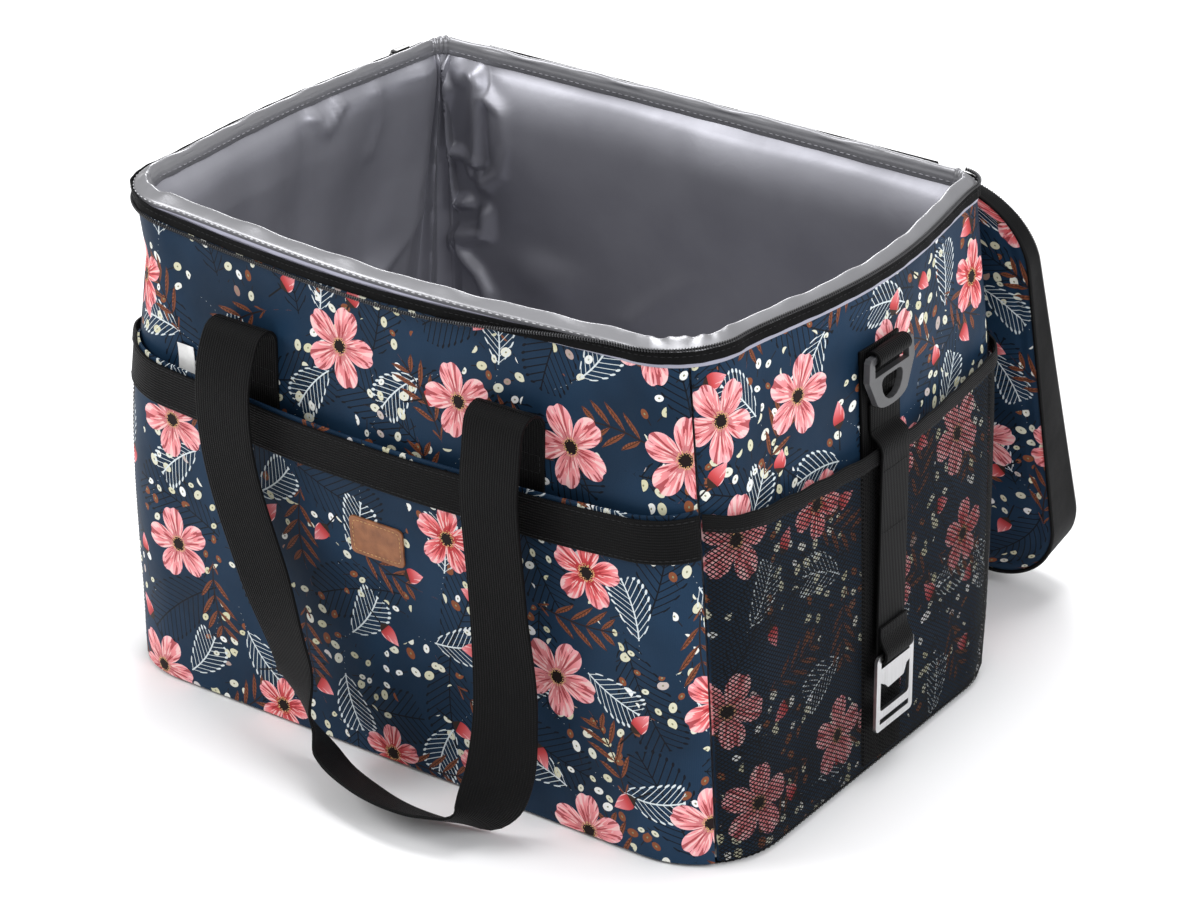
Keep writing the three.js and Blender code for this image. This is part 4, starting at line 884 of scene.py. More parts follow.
def ribbed_webbing(name, plain, rib=0.0016):
    """Flat polyester webbing: ribs along its length, crossed by fine picks, with a dull sheen."""
    made = Finish(name, Roughness=0.6, Sheen_Weight=0.012, Sheen_Roughness=0.45, Specular_IOR_Level=0.1)
    cloth = made.cloth()
    warp = measured(made.tree, "TexWave", {"Vector": cloth, "Scale": 0.314 / rib}, 1, bands_direction="X")
    crossed = {"Vector": cloth, "Scale": 0.314 / 0.0011, "Distortion": 0.4, "Detail": 1}
    picks = measured(made.tree, "TexWave", crossed, 1, bands_direction="Y")
    ribs = warp * (picks * 0.45 + 0.55)
    # The colour mixes a random dusty tone with painted shade in the grooves between the ribs and a painted
    # highlight on their crests.
    dark, light = shades(plain, 0.35, 1.9)
    dust_and_rib_shading = noise(made.body, 90, 4) * 0.35 + ribs * 0.65
    return made.wired(dust_and_rib_shading.toned((0.1, dark), (0.5, plain), (0.95, light)), ribs.bump(0.8, 0.0005))


black_webbing = ribbed_webbing("black_webbing", (0.0026, 0.0026, 0.0028))
WEB = 0.0018
STITCH_INSET, WEB_STITCH = 0.0022, (0.0027, 0.0006, 0.0004)


def soften(piece, width=0.00045):
    """Rounds the long edges of a webbing, strip or plate."""
    pick(piece)
    shape_by(piece, "BEVEL", width=width, segments=2, limit_method="ANGLE", angle_limit=math.radians(50))
    return piece


def webbing_out(p, z):
    """How far the front band's outer face stands off the wall."""
    return pocket_standoff(p, z) + 0.0015 + WEB


def front_band_place(u, v):
    p = FRONT + mix(SEAM, 1 - SEAM, u)
    z = band_edge(p) - BAND_WIDTH * (1 - v) + 0.0003 * np.sin(31 * u)
    return wall(p, z, webbing_out(p, z))


front_band = soften(lay_sheet("front_webbing_band", (150, 6), front_band_place, WEB, sideways=True))
dress(front_band, black_webbing, "bag", ["front_band"])


def band_stitches(name, low, high, top, out):
    """Two rows of black stitches, along both edges of a band."""
    counts = np.linspace(low, high, 260)
    for edge, word in ((STITCH_INSET, "upper"), (BAND_WIDTH - STITCH_INSET, "lower")):
        level = top(counts) - edge
        repeat_along(
            f"{name}_{word}_stitches", wall(counts, level, out(counts, level) + 0.00005),
            outward(counts, 0.1), 0.0036, WEB_STITCH, thread_black,
        )


band_stitches("front_band", FRONT + 0.01, FRONT + 0.99, band_edge, webbing_out)

# Leather patch: a bare rectangle of brown leather with round corners, sewn on all round with tan
# thread. The label is a blank white woven tab caught in the pocket's mouth.
FRONT_CENTRE = -0.0045
PATCH_HALF, PATCH_RISE, PATCH_MIDDLE, PATCH_CORNER = 0.0185, 0.012, 0.146, 0.0035
hide = Finish("brown_leather", Roughness=0.5)
hide_pores = measured(hide.tree, "TexVoronoi", {"Vector": hide.body, "Scale": 1300}, "Distance")
leather = hide.wired(
    noise(hide.body, 130, 4).toned(
        (0.25, (0.155, 0.052, 0.017)), (0.55, (0.27, 0.098, 0.034)), (0.8, (0.36, 0.145, 0.055)),
    ),
    hide_pores.bump(0.5, 0.0002),
)


def on_pocket(x, z, out):
    p = count_at(FRONT, FRONT_CENTRE + x, z)
    return wall(p, z, pocket_standoff(p, z) + 0.0015 + out)


def patch_place(u, v):
    rise = (2 * v - 1) * PATCH_RISE
    past = np.clip((np.abs(rise) - PATCH_RISE + PATCH_CORNER) / PATCH_CORNER, 0, 1)
    half = PATCH_HALF - PATCH_CORNER * (1 - np.sqrt(1 - past**2))
    x = (2 * u - 1) * half
    inset = np.minimum(PATCH_HALF - np.abs(x), PATCH_RISE - np.abs(rise))
    return on_pocket(x, PATCH_MIDDLE + rise, 0.0014 - 0.00025 * bell(inset, STITCH_INSET, 0.0007))


patch = soften(lay_sheet("leather_patch_hide", (44, 34), patch_place, 0.0013), 0.0003)
dress(patch, leather, "bag", ["leather_patch"])
thread_tan = woven("tan_thread", 0.6, 0.15, plain=(0.50, 0.30, 0.13), thread=4000)
seam_turns = np.linspace(0, 2 * math.pi, 160, endpoint=False)
seam_ways = np.column_stack([np.cos(seam_turns), np.sin(seam_turns)])
seam_reach = 1 / np.maximum((np.abs(seam_ways) ** 8).sum(1), 1e-9) ** 0.125
seam_half = np.array([PATCH_HALF - STITCH_INSET, PATCH_RISE - STITCH_INSET])
seam_round = seam_ways * seam_half * seam_reach[:, None]
seam_round = np.vstack([seam_round, seam_round[:1]])
repeat_along(
    "patch_stitches", on_pocket(seam_round[:, 0], PATCH_MIDDLE + seam_round[:, 1], 0.00125), (0, -1, 0.05),
    0.0027, (0.0019, 0.0005, 0.0004), thread_tan,
)

white_tab = woven("white_label", 0.55, 0.1, plain=(0.78, 0.78, 0.77), thread=3400, relief=0.3, crease=0.1)
LABEL_X, LABEL_MIDDLE, LABEL_WIDE, LABEL_HIGH = -0.145, 0.210, 0.012, 0.026


def label_place(u, v):
    z = LABEL_MIDDLE + (v - 0.5) * LABEL_HIGH
    x = LABEL_X + (u - 0.5) * LABEL_WIDE
    curl = 0.0012 * np.clip((v - 0.55) / 0.45, 0, 1) ** 2
    return wall(count_at(FRONT, x, z), z, 0.0009 + curl)


label = soften(lay_sheet("pocket_label_tab", (8, 20), label_place, 0.0005), 0.00015)
dress(label, white_tab, "bag", ["pocket_label"])

# Back band: the same webbing sewn right across the back wall, over the feet of the back handle. It
# lies against the cloth at its ends and stands off over the handle's feet.


def back_out(p, z):
    return 0.0003 + (1 - (2 * (p - BACK) - 1) ** 8) * 0.0021 + WEB


def back_band_place(u, v):
    p = BACK + mix(0.02, 0.98, u)
    z = BAND_TOP - BAND_WIDTH * (1 - v)
    return wall(p, z, back_out(p, z))


back_band = soften(lay_sheet("back_webbing_band", (120, 6), back_band_place, WEB, sideways=True))
dress(back_band, black_webbing, "bag", ["back_band"])
band_stitches("back_band", BACK + 0.03, BACK + 0.97, lambda p: np.full_like(p, BAND_TOP), back_out)

# Handles: each is a loop of 38 mm webbing whose two ends run down the wall behind the band and are
# sewn there with boxes. It folds over at the top of each end and hangs from the folds.
HANDLE_WEB, HANDLE_SPACING = 0.038, 0.18
FOLD_TOP, TAB_FOOT, TAB_OFFSET = 0.254, 0.150, 0.0012


def fold_pivot(side, x, radius):
    """The middle of the fold at the top of one end, and which way the handle faces."""
    z = FOLD_TOP - radius - WEB / 2
    away = -1 if side == FRONT else 1
    foot = wall(count_at(side, -away * x, z), z, TAB_OFFSET)
    return x, foot[1] + away * radius, z, away


def tab_piece(name, side, x, radius):
    _, pivot_y, pivot_z, away = fold_pivot(side, x, radius)
    last = math.radians(89.4)
    flat = (pivot_z - TAB_FOOT) / (pivot_z - TAB_FOOT + radius * last)

    def place(u, v):
        across = (u - 0.5) * HANDLE_WEB
        z = np.where(v < flat, TAB_FOOT + (pivot_z - TAB_FOOT) * v / flat, pivot_z)
        angle = np.clip((v - flat) / (1 - flat), 0, 1) * last
        p = count_at(side, -away * (x + across), z)
        spot = wall(p, z, TAB_OFFSET + radius - (radius - WEB / 2) * np.cos(angle))
        level = pivot_y - away * (radius - WEB / 2) * np.cos(angle)
        spot[:, 1] = mix(spot[:, 1], level, angle / (math.pi / 2))
        spot[:, 2] = z + (radius - WEB / 2) * np.sin(angle)
        return spot

    return soften(lay_sheet(name, (8, 60), place, WEB, side=float(away)))


def curve_between(points, cuts):
    """A centripetal curve through points, cut evenly between each pair."""
    points = np.vstack([2 * points[0] - points[1], points, 2 * points[-1] - points[-2]])
    out = []
    for index in range(len(points) - 3):
        a, b, c, d = points[index:index + 4]
        gaps = [max(np.linalg.norm(q - p) ** 0.5, 1e-6) for p, q in ((a, b), (b, c), (c, d))]
        start = ((b - a) / gaps[0] - (c - a) / (gaps[0] + gaps[1]) + (c - b) / gaps[1]) * gaps[1]
        end = ((c - b) / gaps[1] - (d - b) / (gaps[1] + gaps[2]) + (d - c) / gaps[2]) * gaps[1]
        square, cube = 3 * c - 3 * b - 2 * start - end, 2 * b - 2 * c + start + end
        out += [b + start * t + square * t**2 + cube * t**3 for t in np.arange(cuts) / cuts]
    return np.array(out + [points[-2]])


def evenly(line, run, even):
    """The coordinates of a line, read at even distances along it."""
    return np.column_stack([np.interp(even, run, values) for values in line.T])


def lay_webbing(name, path, across, width, thickness, cells=8, step=0.003):
    """Webbing swept along a path, its face kept square to the path."""
    length = distances(path)
    rows = max(4, int(length[-1] / step))
    even = np.linspace(0, length[-1], rows + 1)
    line, wide = evenly(path, length, even), evenly(across, length, even)
    run = np.gradient(line, axis=0)
    run /= np.linalg.norm(run, axis=1)[:, None]
    wide -= (wide * run).sum(1)[:, None] * run
    wide /= np.linalg.norm(wide, axis=1)[:, None]

    def place(u, v):
        row = np.rint(v * rows).astype(int)
        return line[row] + (u - 0.5)[:, None] * width * wide[row]

    return soften(lay_sheet(name, (cells, rows), place, thickness, side=0.0))


def handle_loop(name, side, middle, radius, route):
    left, right = (fold_pivot(side, middle + hand * HANDLE_SPACING / 2, radius) for hand in (-1, 1))
    away, top = left[3], left[2] + radius
    stops, across = [], []

    def over_fold(pivot, angles, way):
        for turn in np.radians(angles):
            reach, rise = radius * math.sin(turn), radius * math.cos(turn)
            stops.append((pivot[0], pivot[1] + away * reach, pivot[2] + rise))
            across.append((way, 0, 0))

    over_fold(left, (0.6, 8.6, 40, 70), 1)
    for share, height, ahead, wide in route:
        stops.append((middle + share * HANDLE_SPACING / 2, away * (0.151 + ahead), top * height))
        across.append((wide[0], -wide[1] * away, wide[2]))
    over_fold(right, (70, 40, 8.6, 0.6), -1)
    cuts = 8
    wide = [
        mix(np.array(start), np.array(end), eased(k / cuts, 0, 1))
        for start, end in zip(across, across[1:]) for k in range(cuts)
    ]
    path = curve_between(np.array(stops), cuts)
    return lay_webbing(name, path, np.array([*wide, across[-1]]), HANDLE_WEB, WEB, step=0.0035)


# Each stop: across in half spacings, height in shares, metres ahead of the wall, and the way it faces.
FRONT_ROUTE = [
    (-1.03, 0.89, 0.0250, (1, 0, 0)), (-1.03, 0.75, 0.0255, (1, 0, 0.05)),
    (-0.96, 0.63, 0.0260, (0.97, 0, 0.22)), (-0.75, 0.465, 0.0300, (0.87, 0, 0.48)),
    (-0.47, 0.28, 0.0370, (0.85, -0.25, 0.45)), (-0.33, 0.15, 0.0390, (0.55, -0.65, 0.5)),
    (-0.16, 0.075, 0.0410, (0.15, -0.85, 0.5)), (0.16, 0.05, 0.0480, (0, -0.86, 0.5)),
    (0.49, 0.046, 0.0520, (0, -0.86, 0.5)), (0.77, 0.048, 0.0490, (-0.1, -0.86, 0.5)),
    (0.99, 0.065, 0.0420, (-0.5, -0.8, 0.35)), (1.1, 0.15, 0.0370, (-0.85, -0.5, 0.1)),
    (1.14, 0.33, 0.0325, (-0.98, -0.2, 0)), (1.06, 0.58, 0.0280, (-1, 0, 0)),
    (0.99, 0.81, 0.0255, (-1, 0, 0)), (1.0, 0.9, 0.0245, (-1, 0, 0)),
]
BACK_HALF = [
    (-1.0, 0.92, 0.0066, (1, 0, 0)), (-1.0, 0.7, 0.0095, (1, 0, 0)), (-0.98, 0.45, 0.0115, (1, 0, 0.05)),
    (-0.86, 0.28, 0.0130, (0.8, -0.3, 0.5)), (-0.5, 0.17, 0.0170, (0.25, -0.5, 0.85)),
]
BACK_ROUTE = [
    *BACK_HALF, (0, 0.14, 0.0190, (0, -0.5, 0.86)),
    *[(-share, height, ahead, (-x, y, z)) for share, height, ahead, (x, y, z) in reversed(BACK_HALF)],
]
BOX_HALF, BOX_LOW, BOX_HIGH = 0.0165, 0.2165, 0.2265
BOX = [
    (-BOX_HALF, BOX_LOW), (BOX_HALF, BOX_LOW), (BOX_HALF, BOX_HIGH), (-BOX_HALF, BOX_HIGH),
    (-BOX_HALF, BOX_LOW),
]
for name, side, middle, radius, route in (
    ("front_handle", FRONT, FRONT_CENTRE, 0.0095, FRONT_ROUTE),
    ("back_handle", BACK, 0.0, 0.0035, BACK_ROUTE),
):
    away = -1 if side == FRONT else 1
    for hand, word in ((-1, "left"), (1, "right")):
        x = middle + hand * HANDLE_SPACING / 2
        tab = tab_piece(f"{name}_{word}_end", side, x, radius)
        dress(tab, black_webbing, "bag", [f"{name}_{word}_tab"])
        for number, (start, end) in enumerate(zip(BOX, BOX[1:]), 1):
            along, level = np.linspace(start, end, 30).T
            counts = count_at(side, -away * (along + x), level)
            seam_line = wall(counts, level, TAB_OFFSET + WEB / 2 + 0.00005)
            repeat_along(
                f"{name}_{word}_seam_{number}", seam_line, (0, away, 0), 0.0033, (0.0025, 0.0006, 0.0004),
                thread_black,
            )
    loop = handle_loop(f"{name}_loop", side, middle, radius, route)
    dress(loop, black_webbing, name, [name])

# Side pockets: black diamond net stretched over each end and caught in the side seams, its mouth
# bound with stitched elastic. A webbing band runs up the end underneath it, to the ring.
MESH_FRONT, MESH_MIDDLE, MESH_BACK = 0.213, 0.203, 0.208
SIDE_CENTRE, SIDE_BAND = 0.005, 0.038
BINDING = 0.010
NET_FLAT, NET_WIDE, NET_HIGH = (0.278, 0.205), 0.0037, 0.0026
STRAND_HALF, STRAND_DEEP = 0.000375, 0.0002
NET_STEPS, NET_LEVELS = int(round(0.99 * NET_FLAT[0] / NET_WIDE)), int(MESH_FRONT / NET_HIGH)


def mesh_standoff(p, side, z):
    across = 2 * (p - side) - 1
    up = np.clip((z - PANEL_FOOT) / (MESH_MIDDLE - PANEL_FOOT), 0, 1.1)
    foot = np.clip((z - PANEL_FOOT) / 0.0034, 0, 1)
    return 0.0003 + 0.0021 * (1 - across**8) * foot + 0.004 * (1 - across**4) * up**1.5


def mesh_edge(p, side):
    share = p - side if side == RIGHT else 1 - (p - side)
    dip = (MESH_FRONT + MESH_BACK) / 2 - MESH_MIDDLE
    return mix(MESH_FRONT, MESH_BACK, share) - dip * 4 * share * (1 - share)


def side_count(side, y, z):
    return count_at(side, (1 if side == RIGHT else -1) * y, z)


def net_strand(side, lean, strand):
    """One slanting strand of the net, from the foot or a side seam up to the binding."""
    low = max(0.0, -strand if lean > 0 else strand - NET_STEPS)
    high = min(float(NET_LEVELS), NET_STEPS - strand if lean > 0 else strand)
    if high - low < 0.5:
        return [], []
    rungs = np.linspace(low, high, max(2, int(math.ceil((high - low) / 3.2)) + 1))
    p = side + 0.005 + 0.99 * (strand + lean * rungs) / NET_STEPS
    z = PANEL_FOOT + rungs * NET_HIGH
    keep = z < mesh_edge(p, side) - 0.0015
    if keep.sum() < 2:
        return [], []
    p, z = p[keep], z[keep]
    line = wall(p, z, mesh_standoff(p, side, z) + 0.0004 + 0.00016 * lean)
    _, face, beside = path_frames(line, outward(p, z))
    edges = (beside * STRAND_HALF, face * STRAND_DEEP, -beside * STRAND_HALF, -face * STRAND_DEEP)
    places = np.stack([line + edge for edge in edges], axis=1).reshape(-1, 3)
    faces = [
        (4 * row + edge, 4 * row + (edge + 1) % 4, 4 * row + (edge + 1) % 4 + 4, 4 * row + edge + 4)
        for row in range(len(line) - 1) for edge in range(4)
    ]
    tip = 4 * (len(line) - 1)
    return list(places), [*faces, (3, 2, 1, 0), (tip, tip + 1, tip + 2, tip + 3)]


net_black = woven(
    "net_black", 0.5, 0.03, plain=(0.0026, 0.0026, 0.0028), thread=4200, relief=0.3, crease=0.0, shine=0.12,
)
elastic_black = ribbed_webbing("elastic_black", (0.0032, 0.0032, 0.0034), rib=0.0012)
for side, name in ((LEFT, "left"), (RIGHT, "right")):
    places, faces = [], []
    for lean, first, last in ((-1, 0, NET_STEPS + NET_LEVELS), (1, -NET_LEVELS, NET_STEPS)):
        for strand in range(first, last + 1):
            more, rings = net_strand(side, lean, strand)
            faces += [tuple(i + len(places) for i in ring) for ring in rings]
            places += more
    net = new_mesh(f"{name}_pocket_net", places, faces)
    dress(net, net_black, "bag", [f"{name}_mesh_pocket"], angle=89)

    def binding_place(u, v, side=side):
        p = side + mix(SEAM, 1 - SEAM, u)
        z = mesh_edge(p, side) - BINDING * (1 - v) + 0.0004 * np.sin(75 * u)
        roll = 0.0007 * np.sin(math.pi * np.clip(v, 0, 1)) ** 0.5
        return wall(p, z, mesh_standoff(p, side, z) + 0.0018 + roll)

    binding = lay_sheet(f"{name}_pocket_elastic", (120, 8), binding_place, 0.0012, sideways=True)
    dress(soften(binding, 0.0003), elastic_black, "bag", [f"{name}_pocket_binding"])
    counts = np.linspace(side + 0.01, side + 0.99, 300)
    level = mesh_edge(counts, side) - 0.0078
    repeat_along(
        f"{name}_elastic_stitches", wall(counts, level, mesh_standoff(counts, side, level) + 0.0024),
        outward(counts, level), 0.0030, (0.0018, 0.0007, 0.0005), thread_black,
    )

    def side_band_place(u, v, side=side):
        z = mix(0.006, 0.261, v)
        y = SIDE_CENTRE + (u - 0.5) * SIDE_BAND * (1 if side == RIGHT else -1)
        return wall(side_count(side, y, z), z, 0.0003 + WEB)

    side_band = soften(lay_sheet(f"{name}_side_webbing", (8, 90), side_band_place, WEB))
    dress(side_band, black_webbing, "bag", [f"{name}_side_band"])

# Rings: moulded plastic rings for the shoulder strap, each hanging in a webbing loop at the top of a
# side band. The rings keep their solid shape, with rounded edges.
mould = Finish("moulded_plastic")
mould_cloud = noise(mould.body, 45, 3)
moulded = mould.wired(
    mould_cloud.toned((0.3, (0.050, 0.050, 0.053)), (0.7, (0.072, 0.072, 0.075))),
    noise(mould.body, 1700, 2).bump(0.25, 0.0002), mould_cloud.between(0.30, 0.42),
)
RING_BAR_HEIGHT, RING_WEB, RING_DROP = 0.257, 0.032, 0.033
LOOP_INSIDE = math.hypot(0.004, 0.004) / 2 + 0.0003
LOOP_OUTSIDE = LOOP_INSIDE + WEB
RING_OFFSET = 0.0003 + WEB + 0.0003 + LOOP_OUTSIDE


def round_edges(node_name, width, finish):
    """Rounds a moulded or pressed CAD part's edges by live modifiers and gives it its finish."""
    part = bpy.data.objects[node_name]
    part.modifiers.new("weld", "WELD").merge_threshold = 0.00001
    bevel = part.modifiers.new("bevel", "BEVEL")
    bevel.width, bevel.segments = width, 2
    bevel.limit_method, bevel.angle_limit = "ANGLE", math.radians(35)
    bevel.use_clamp_overlap = True
    part.data.materials.clear()
    part.data.materials.append(finish)


def arc(centre, radius, start, end, count):
    turns = np.radians(np.linspace(start, end, count))
    return [(centre[0] + radius * math.cos(t), centre[1] + radius * math.sin(t)) for t in turns]


def lay_flat_webbing(name, path, width, thickness, step):
    """Webbing whose whole path lies square to the bag's depth."""
    across = np.tile([0.0, 1.0, 0.0], (len(path), 1))
    return lay_webbing(name, path, across, width, thickness, cells=6, step=step)


for side, name in ((LEFT, "left"), (RIGHT, "right")):
    eye, foot = (
        wall(side_count(side, SIDE_CENTRE, level), level, RING_OFFSET)
        for level in (RING_BAR_HEIGHT, RING_BAR_HEIGHT - RING_DROP)
    )
    lean = math.atan2(eye[0] - foot[0], RING_DROP)
    middle = (LOOP_INSIDE + LOOP_OUTSIDE) / 2
    flat = [(-middle, -0.022), (-middle, -0.011), (-middle, -0.003), *arc((0, 0), middle, 180, -112, 30)]
    a, b = np.array([*flat, (-0.0019, -0.0062), (-0.0022, -0.0085)]).T
    a = a if side == RIGHT else -a
    turned = np.column_stack([
        a * math.cos(lean) + b * math.sin(lean), np.zeros_like(a), b * math.cos(lean) - a * math.sin(lean),
    ]) + eye
    loop = lay_flat_webbing(f"{name}_ring_webbing", turned, RING_WEB, WEB - 0.0001, 0.0012)
    dress(loop, black_webbing, "bag", [f"{name}_ring_loop"])
    round_edges(f"{name}_ring", 0.0007, moulded)

# Opener strap: a short webbing strap sewn under the right ring, which hangs over the net and is
# folded round the opener's slot and stitched back on itself.
STRAP_WEB, STRAP_HANG = 0.028, 0.22292
STRAP_ROOT, STRAP_END = 0.213, 0.076
ANCHOR_INSIDE = 0.0024


def anchor_place(u, v):
    z = STRAP_ROOT + 0.016 * v - 0.0001
    y = SIDE_CENTRE + (u - 0.5) * STRAP_WEB
    return wall(side_count(RIGHT, y, z), z, ANCHOR_INSIDE + WEB)


anchor = soften(lay_sheet("opener_strap_root", (6, 12), anchor_place, WEB - 0.0001))
dress(anchor, black_webbing, "bag", ["opener_strap_anchor"])
root = wall(side_count(RIGHT, SIDE_CENTRE, STRAP_ROOT), STRAP_ROOT, ANCHOR_INSIDE + WEB / 2)
bar_loop = math.hypot(0.0035, 0.002) / 2 + 0.0003 + WEB / 2
eye_x = STRAP_HANG + bar_loop
strap_line = [
    (root[0], STRAP_ROOT - 0.0001), (root[0] + 0.0006, STRAP_ROOT - 0.0025),
    (mix(root[0], STRAP_HANG, 0.75), STRAP_ROOT - 0.0062), (STRAP_HANG, STRAP_ROOT - 0.0105),
    (STRAP_HANG, 0.19), (STRAP_HANG, 0.13), (STRAP_HANG, STRAP_END + 0.019), (STRAP_HANG, STRAP_END + 0.010),
    *arc((eye_x, STRAP_END), bar_loop, 180, 360, 22), (eye_x + bar_loop - 0.0001, STRAP_END + 0.003),
    (mix(eye_x + bar_loop, STRAP_HANG + WEB, 0.55), STRAP_END + 0.0072),
    (STRAP_HANG + WEB + 0.0003, STRAP_END + 0.0115), (STRAP_HANG + WEB + 0.0001, STRAP_END + 0.018),
]
strap_path = curve_between(np.array([(x, root[1], z) for x, z in strap_line]), 4)
strap = lay_flat_webbing("opener_strap_webbing", strap_path, STRAP_WEB, WEB - 0.0002, 0.0016)
dress(strap, black_webbing, "opener_strap", ["opener_strap"])
for number, (layers, level) in enumerate(
    ((1.5, STRAP_END + 0.0165), (1.5, STRAP_END + 0.0125), (0.5, 0.152), (0.5, 0.190)), 1,
):
    across = np.linspace(root[1] - 0.0125, root[1] + 0.0125, 24)
    repeat_along(
        f"strap_stitches_{number}", [(STRAP_HANG + layers * WEB, y, level) for y in across], (1, 0, 0),
        0.0025, (0.0019, 0.0006, 0.0005), thread_black, "opener_strap",
    )

# Bottle opener: a pressed steel plate, blunt at its edges, brushed along its length and satin bright.
# It keeps its solid shape, with rounded edges.
steel = Finish("satin_steel", Metallic=1.0)
steel_brushed = measured(steel.tree, "Mapping", {"Vector": steel.body, "Scale": (900, 900, 40)})
steel_lines = noise(steel_brushed, 1, 3)
round_edges("bottle_opener", 0.0004, steel.wired(
    steel_lines.toned((0.2, (0.50, 0.50, 0.50)), (0.8, (0.66, 0.66, 0.67))),
    steel_lines.bump(0.2, 0.0001), steel_lines.between(0.24, 0.36),
))

# Slider and pull: black lacquered metal, the pull a flat plate that hangs from the slider's eye. Both
# keep their solid shape, with rounded edges.
lacquer = Finish("black_lacquer", Coat_Weight=0.4, Coat_Roughness=0.2)
lacquer_wear = noise(lacquer.body, 260, 4)
lacquered = lacquer.wired(
    lacquer_wear.toned(
        (0.3, (0.010, 0.010, 0.011)), (0.62, (0.020, 0.020, 0.021)), (0.8, (0.09, 0.09, 0.09)),
    ),
    None, lacquer_wear.between(0.22, 0.4),
)
round_edges("zipper_slider", 0.0003, lacquered)
round_edges("zipper_pull", 0.0004, lacquered)

# Lid: a padded panel of the same print, piped in black round its edge, with a black gusset that
# deepens towards its front, the other half of the zipper's coil, and a lining of the silver film.
LID_HALF, LID_DEPTH, LID_CORNER, LID_BOW, LID_DOME = 0.210, 0.285, 0.048, 0.005, 0.003
FLARE = math.radians(13)
LID_AWAY = np.array([0, math.sin(FLARE), -math.cos(FLARE)])
LID_UP = np.array([0, -math.cos(FLARE), -math.sin(FLARE)])
STRIP_LEAN = math.radians(25)
STRIP_RUN = np.array([0, math.sin(STRIP_LEAN), -math.cos(STRIP_LEAN)])
STRIP_LENGTH, HINGE_Y, HINGE_Z, HINGE_HALF = 0.0155, 0.1503, 0.301, 0.158
CREASE = np.array([0, HINGE_Y, HINGE_Z]) + STRIP_LENGTH * STRIP_RUN
LID_ORIGIN = CREASE + 0.0012 * LID_UP + 0.00015 * LID_AWAY


def lid_point(x, d, h):
    """A point by its place across the lid, its distance from the hinge and its height over the edge."""
    x, d, h = np.broadcast_arrays(*(np.asarray(value, float) for value in (x, d, h)))
    return LID_ORIGIN + x[..., None] * np.array([1.0, 0, 0]) + d[..., None] * LID_AWAY + h[..., None] * LID_UP


def front_bow(share):
    return LID_BOW * (1 - (2 * share - 1) ** 2) ** 1.5


def lid_spread(u, v, inset):
    """Places over the lid's plan: u across it and v from hinge to front, with its front bowed."""
    v = 0.5 - 0.5 * np.cos(math.pi * v)
    d = inset + v * (LID_DEPTH - 2 * inset)
    corner = LID_CORNER - inset
    past = np.maximum(
        np.clip((LID_CORNER - d) / corner, 0, 1), np.clip((d - LID_DEPTH + LID_CORNER) / corner, 0, 1),
    )
    x = (2 * u - 1) * (LID_HALF - LID_CORNER + corner * np.sqrt(1 - past**2))
    share = np.clip(0.5 + x / (2 * (LID_HALF - LID_CORNER)), 0, 1)
    return x, d + front_bow(share) * np.clip((v - 0.6) / 0.4, 0, 1)


def lid_dome(x, d):
    along = np.clip(d, 0, LID_DEPTH + 0.005) / (LID_DEPTH + 0.012)
    return LID_DOME * np.cos(math.pi * x / (2 * LID_HALF)) * np.sin(math.pi * along)


def edge_gap(x, d, inset=0.0):
    """A distance from a place on the lid to the edge, near enough for seams and rounded edges."""
    cx = np.maximum(np.abs(x) - (LID_HALF - LID_CORNER), 0)
    cd = np.maximum(np.maximum(LID_CORNER - d, d - (LID_DEPTH - LID_CORNER)), 0)
    return LID_CORNER - np.hypot(cx, cd) - inset


def lid_cover_place(u, v):
    x, d = lid_spread(u, v, 0.0003)
    gap = edge_gap(x, d)
    seam = -0.0011 * bell(gap, 0.0, 0.0024) - 0.0009 * bell(gap, 0.009, 0.0016)
    dents = 0.0005 * np.sin(41 * x + 2) * np.sin(37 * d) * np.clip(gap / 0.03, 0, 1)
    return lid_point(x, d, lid_dome(x, d) + seam + dents - 0.0001)


LAYER_INSET = 0.0028


def lid_pad_place(u, v):
    x, d = lid_spread(u, v, LAYER_INSET)
    return lid_point(x, d, lid_dome(x, d) - 0.0015)


def lid_lining_place(u, v):
    x, d = lid_spread(u, v, LAYER_INSET)
    waves = 1 + np.sin(26 * x + 11 * d) * np.sin(31 * d - 9 * x)
    puffs = np.abs(np.sin(math.pi * (d - 0.02) / 0.125)) ** 0.4
    puffs *= np.clip(edge_gap(x, d, LAYER_INSET) / 0.03, 0, 1)
    return lid_point(x, d, lid_dome(x, d) - 0.0048 - 0.0016 * waves * puffs)


lid_cover = lay_sheet("lid_cover", (150, 110), lid_cover_place, 0.0010, side=1.0, cloth_from=(2.61, 1.24))
dress(lid_cover, printed_cloth, "lid", ["lid_panel"])
lid_pad = lay_sheet("lid_pad", (110, 90), lid_pad_place, 0.0030, side=1.0)
dress(lid_pad, foam_white, "lid", ["lid_foam"])
lid_lining = lay_sheet("lid_lining_film", (110, 90), lid_lining_place, FILM, side=1.0)
dress(lid_lining, silver_film, "lid", ["lid_lining"])


def lid_outline(inset):
    """The lid's edge from its hinge's left end round the front to its right end, evenly spaced."""
    right, far = LID_HALF - LID_CORNER, LID_DEPTH - LID_CORNER

    def corner(x, d, start):
        return arc((x, d), LID_CORNER - inset, start, start - 90, 24)

    points = corner(-right, LID_CORNER, 270)
    points += [(-LID_HALF + inset, d) for d in np.linspace(LID_CORNER, far, 44)[1:-1]]
    points += corner(-right, far, 180)
    points += [(mix(-right, right, k), LID_DEPTH - inset + front_bow(k)) for k in np.linspace(0, 1, 60)[1:-1]]
    points += corner(right, far, 90)
    points += [(LID_HALF - inset, d) for d in np.linspace(far, LID_CORNER, 44)[1:-1]]
    points = np.array([*points, *corner(right, LID_CORNER, 0)])
    length = distances(points)
    return evenly(points, length, np.linspace(0, length[-1], 420))


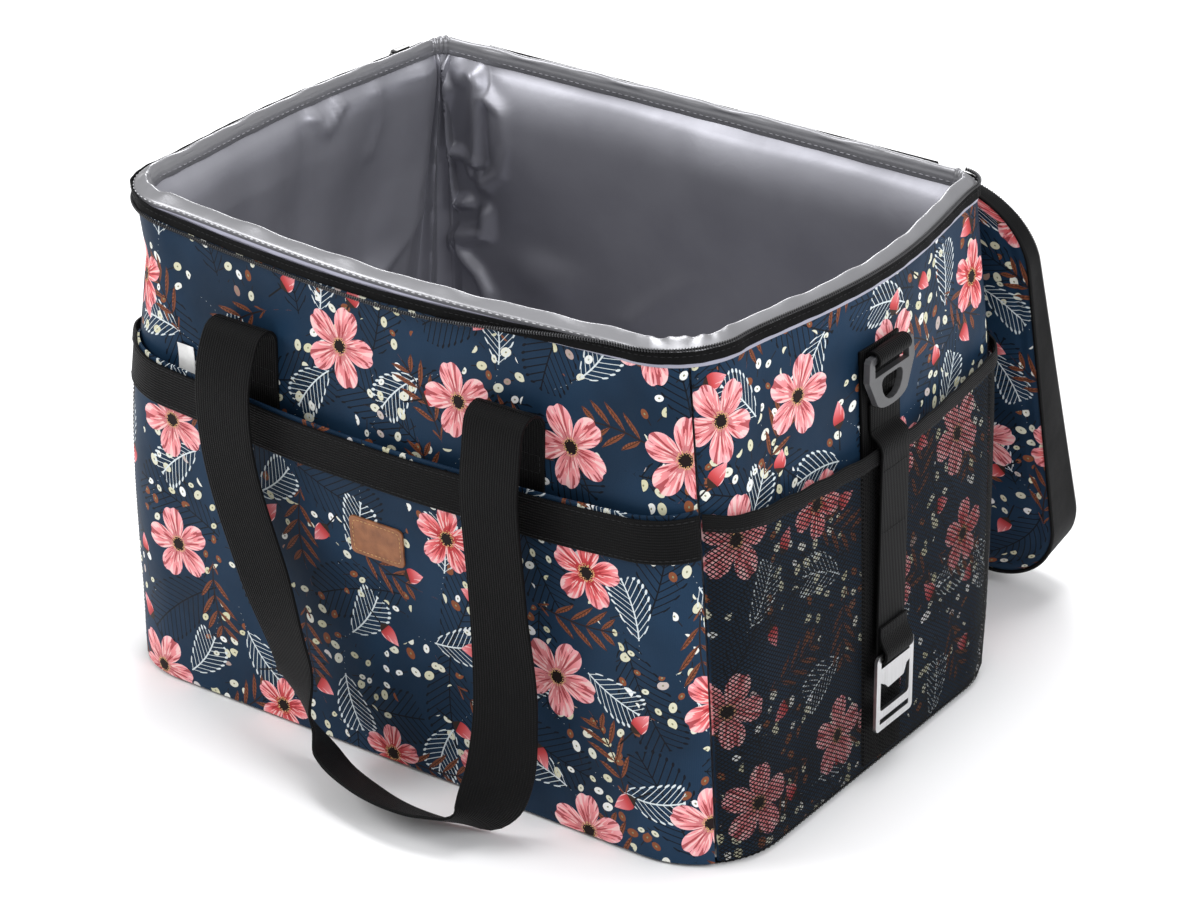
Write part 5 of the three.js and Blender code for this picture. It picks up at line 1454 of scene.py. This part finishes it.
def gusset_foot(d):
    return -mix(0.0074, 0.031, np.clip(d / LID_DEPTH, 0, 1))


rim_line = lid_outline(0.0)
rim_ways = rim_line - lid_outline(0.0012)
rim_ways /= np.linalg.norm(rim_ways, axis=1)[:, None]


def gusset_place(u, v):
    row = np.rint(u * (len(rim_line) - 1)).astype(int)
    x, d = rim_line[row].T
    h = mix(gusset_foot(d), -0.0015 + lid_dome(x, d), v)
    belly = 0.0006 * np.sin(math.pi * v) * np.sin(40 * u)
    sway = rim_ways[row] * (belly - 0.00005)[:, None]
    return lid_point(x + sway[:, 0], d + sway[:, 1], h)


gusset_cloth = woven(
    "gusset_cloth", 0.68, 0.0, plain=(0.0032, 0.0032, 0.0035), thread=2000,
    relief=0.4, crease=0.5, shine=0.12,
)
gusset = lay_sheet("lid_gusset_strip", (len(rim_line) - 1, 10), gusset_place, 0.0011, side=1.0)
dress(gusset, gusset_cloth, "lid", ["lid_gusset"])
rim_x, rim_d = rim_line.T
lid_facing = lid_point(rim_ways[:, 0], rim_ways[:, 1], 0) - lid_point(0, 0, 0)


def round_gusset(out, height):
    """The lid's edge moved outwards, at a height over the gusset's foot."""
    x, d = (rim_line + out * rim_ways).T
    return lid_point(x, d, gusset_foot(rim_d) + height)


piping_line = lid_point(rim_x, rim_d, lid_dome(rim_x, rim_d) - 0.0009)
core("lid_piping", piping_line, lid_facing, 0.0013, gusset_cloth, "lid")
lid_coil_line = round_gusset(-0.0006, -0.0016)
core("lid_coil_core", lid_coil_line, lid_facing, COIL_RADIUS, woven_tape, "lid", ["lid_coil"])
repeat_along(
    "lid_coil_teeth", lid_coil_line, lid_facing, TOOTH_PITCH, (0.00095, 0.0024, 0.0023), nylon,
    "lid",
)
repeat_along(
    "gusset_stitches", round_gusset(0.0005, 0.0035), lid_facing, 0.0036, (0.0026, 0.0006, 0.0005),
    thread_black, "lid",
)

# Cloth hinge: black woven tape sewn along the top of the back wall, and the strip of it that folds
# over and carries the lid between two creases.


def hinge_tape_place(u, v):
    x = mix(HINGE_HALF, -HINGE_HALF, u)
    z = HINGE_Z - 0.00095 - 0.014 * (1 - v)
    return wall(count_at(BACK, -x, z), z, 0.0009 + 0.0011)


hinge_tape = lay_sheet("hinge_tape_cloth", (120, 6), hinge_tape_place, 0.0010)
dress(hinge_tape, woven_tape, "bag", ["hinge_tape"])


def strip_place(u, v):
    x = mix(-HINGE_HALF, HINGE_HALF, u)
    run = mix(0.00015, STRIP_LENGTH - 0.00015, v)
    return np.array([0, HINGE_Y, HINGE_Z]) + x[:, None] * np.array([1.0, 0, 0]) + run[:, None] * STRIP_RUN


hinge_strip = lay_sheet("hinge_strip_cloth", (120, 6), strip_place, 0.0011)
dress(hinge_strip, woven_tape, "hinge_strip", ["hinge_strip"])
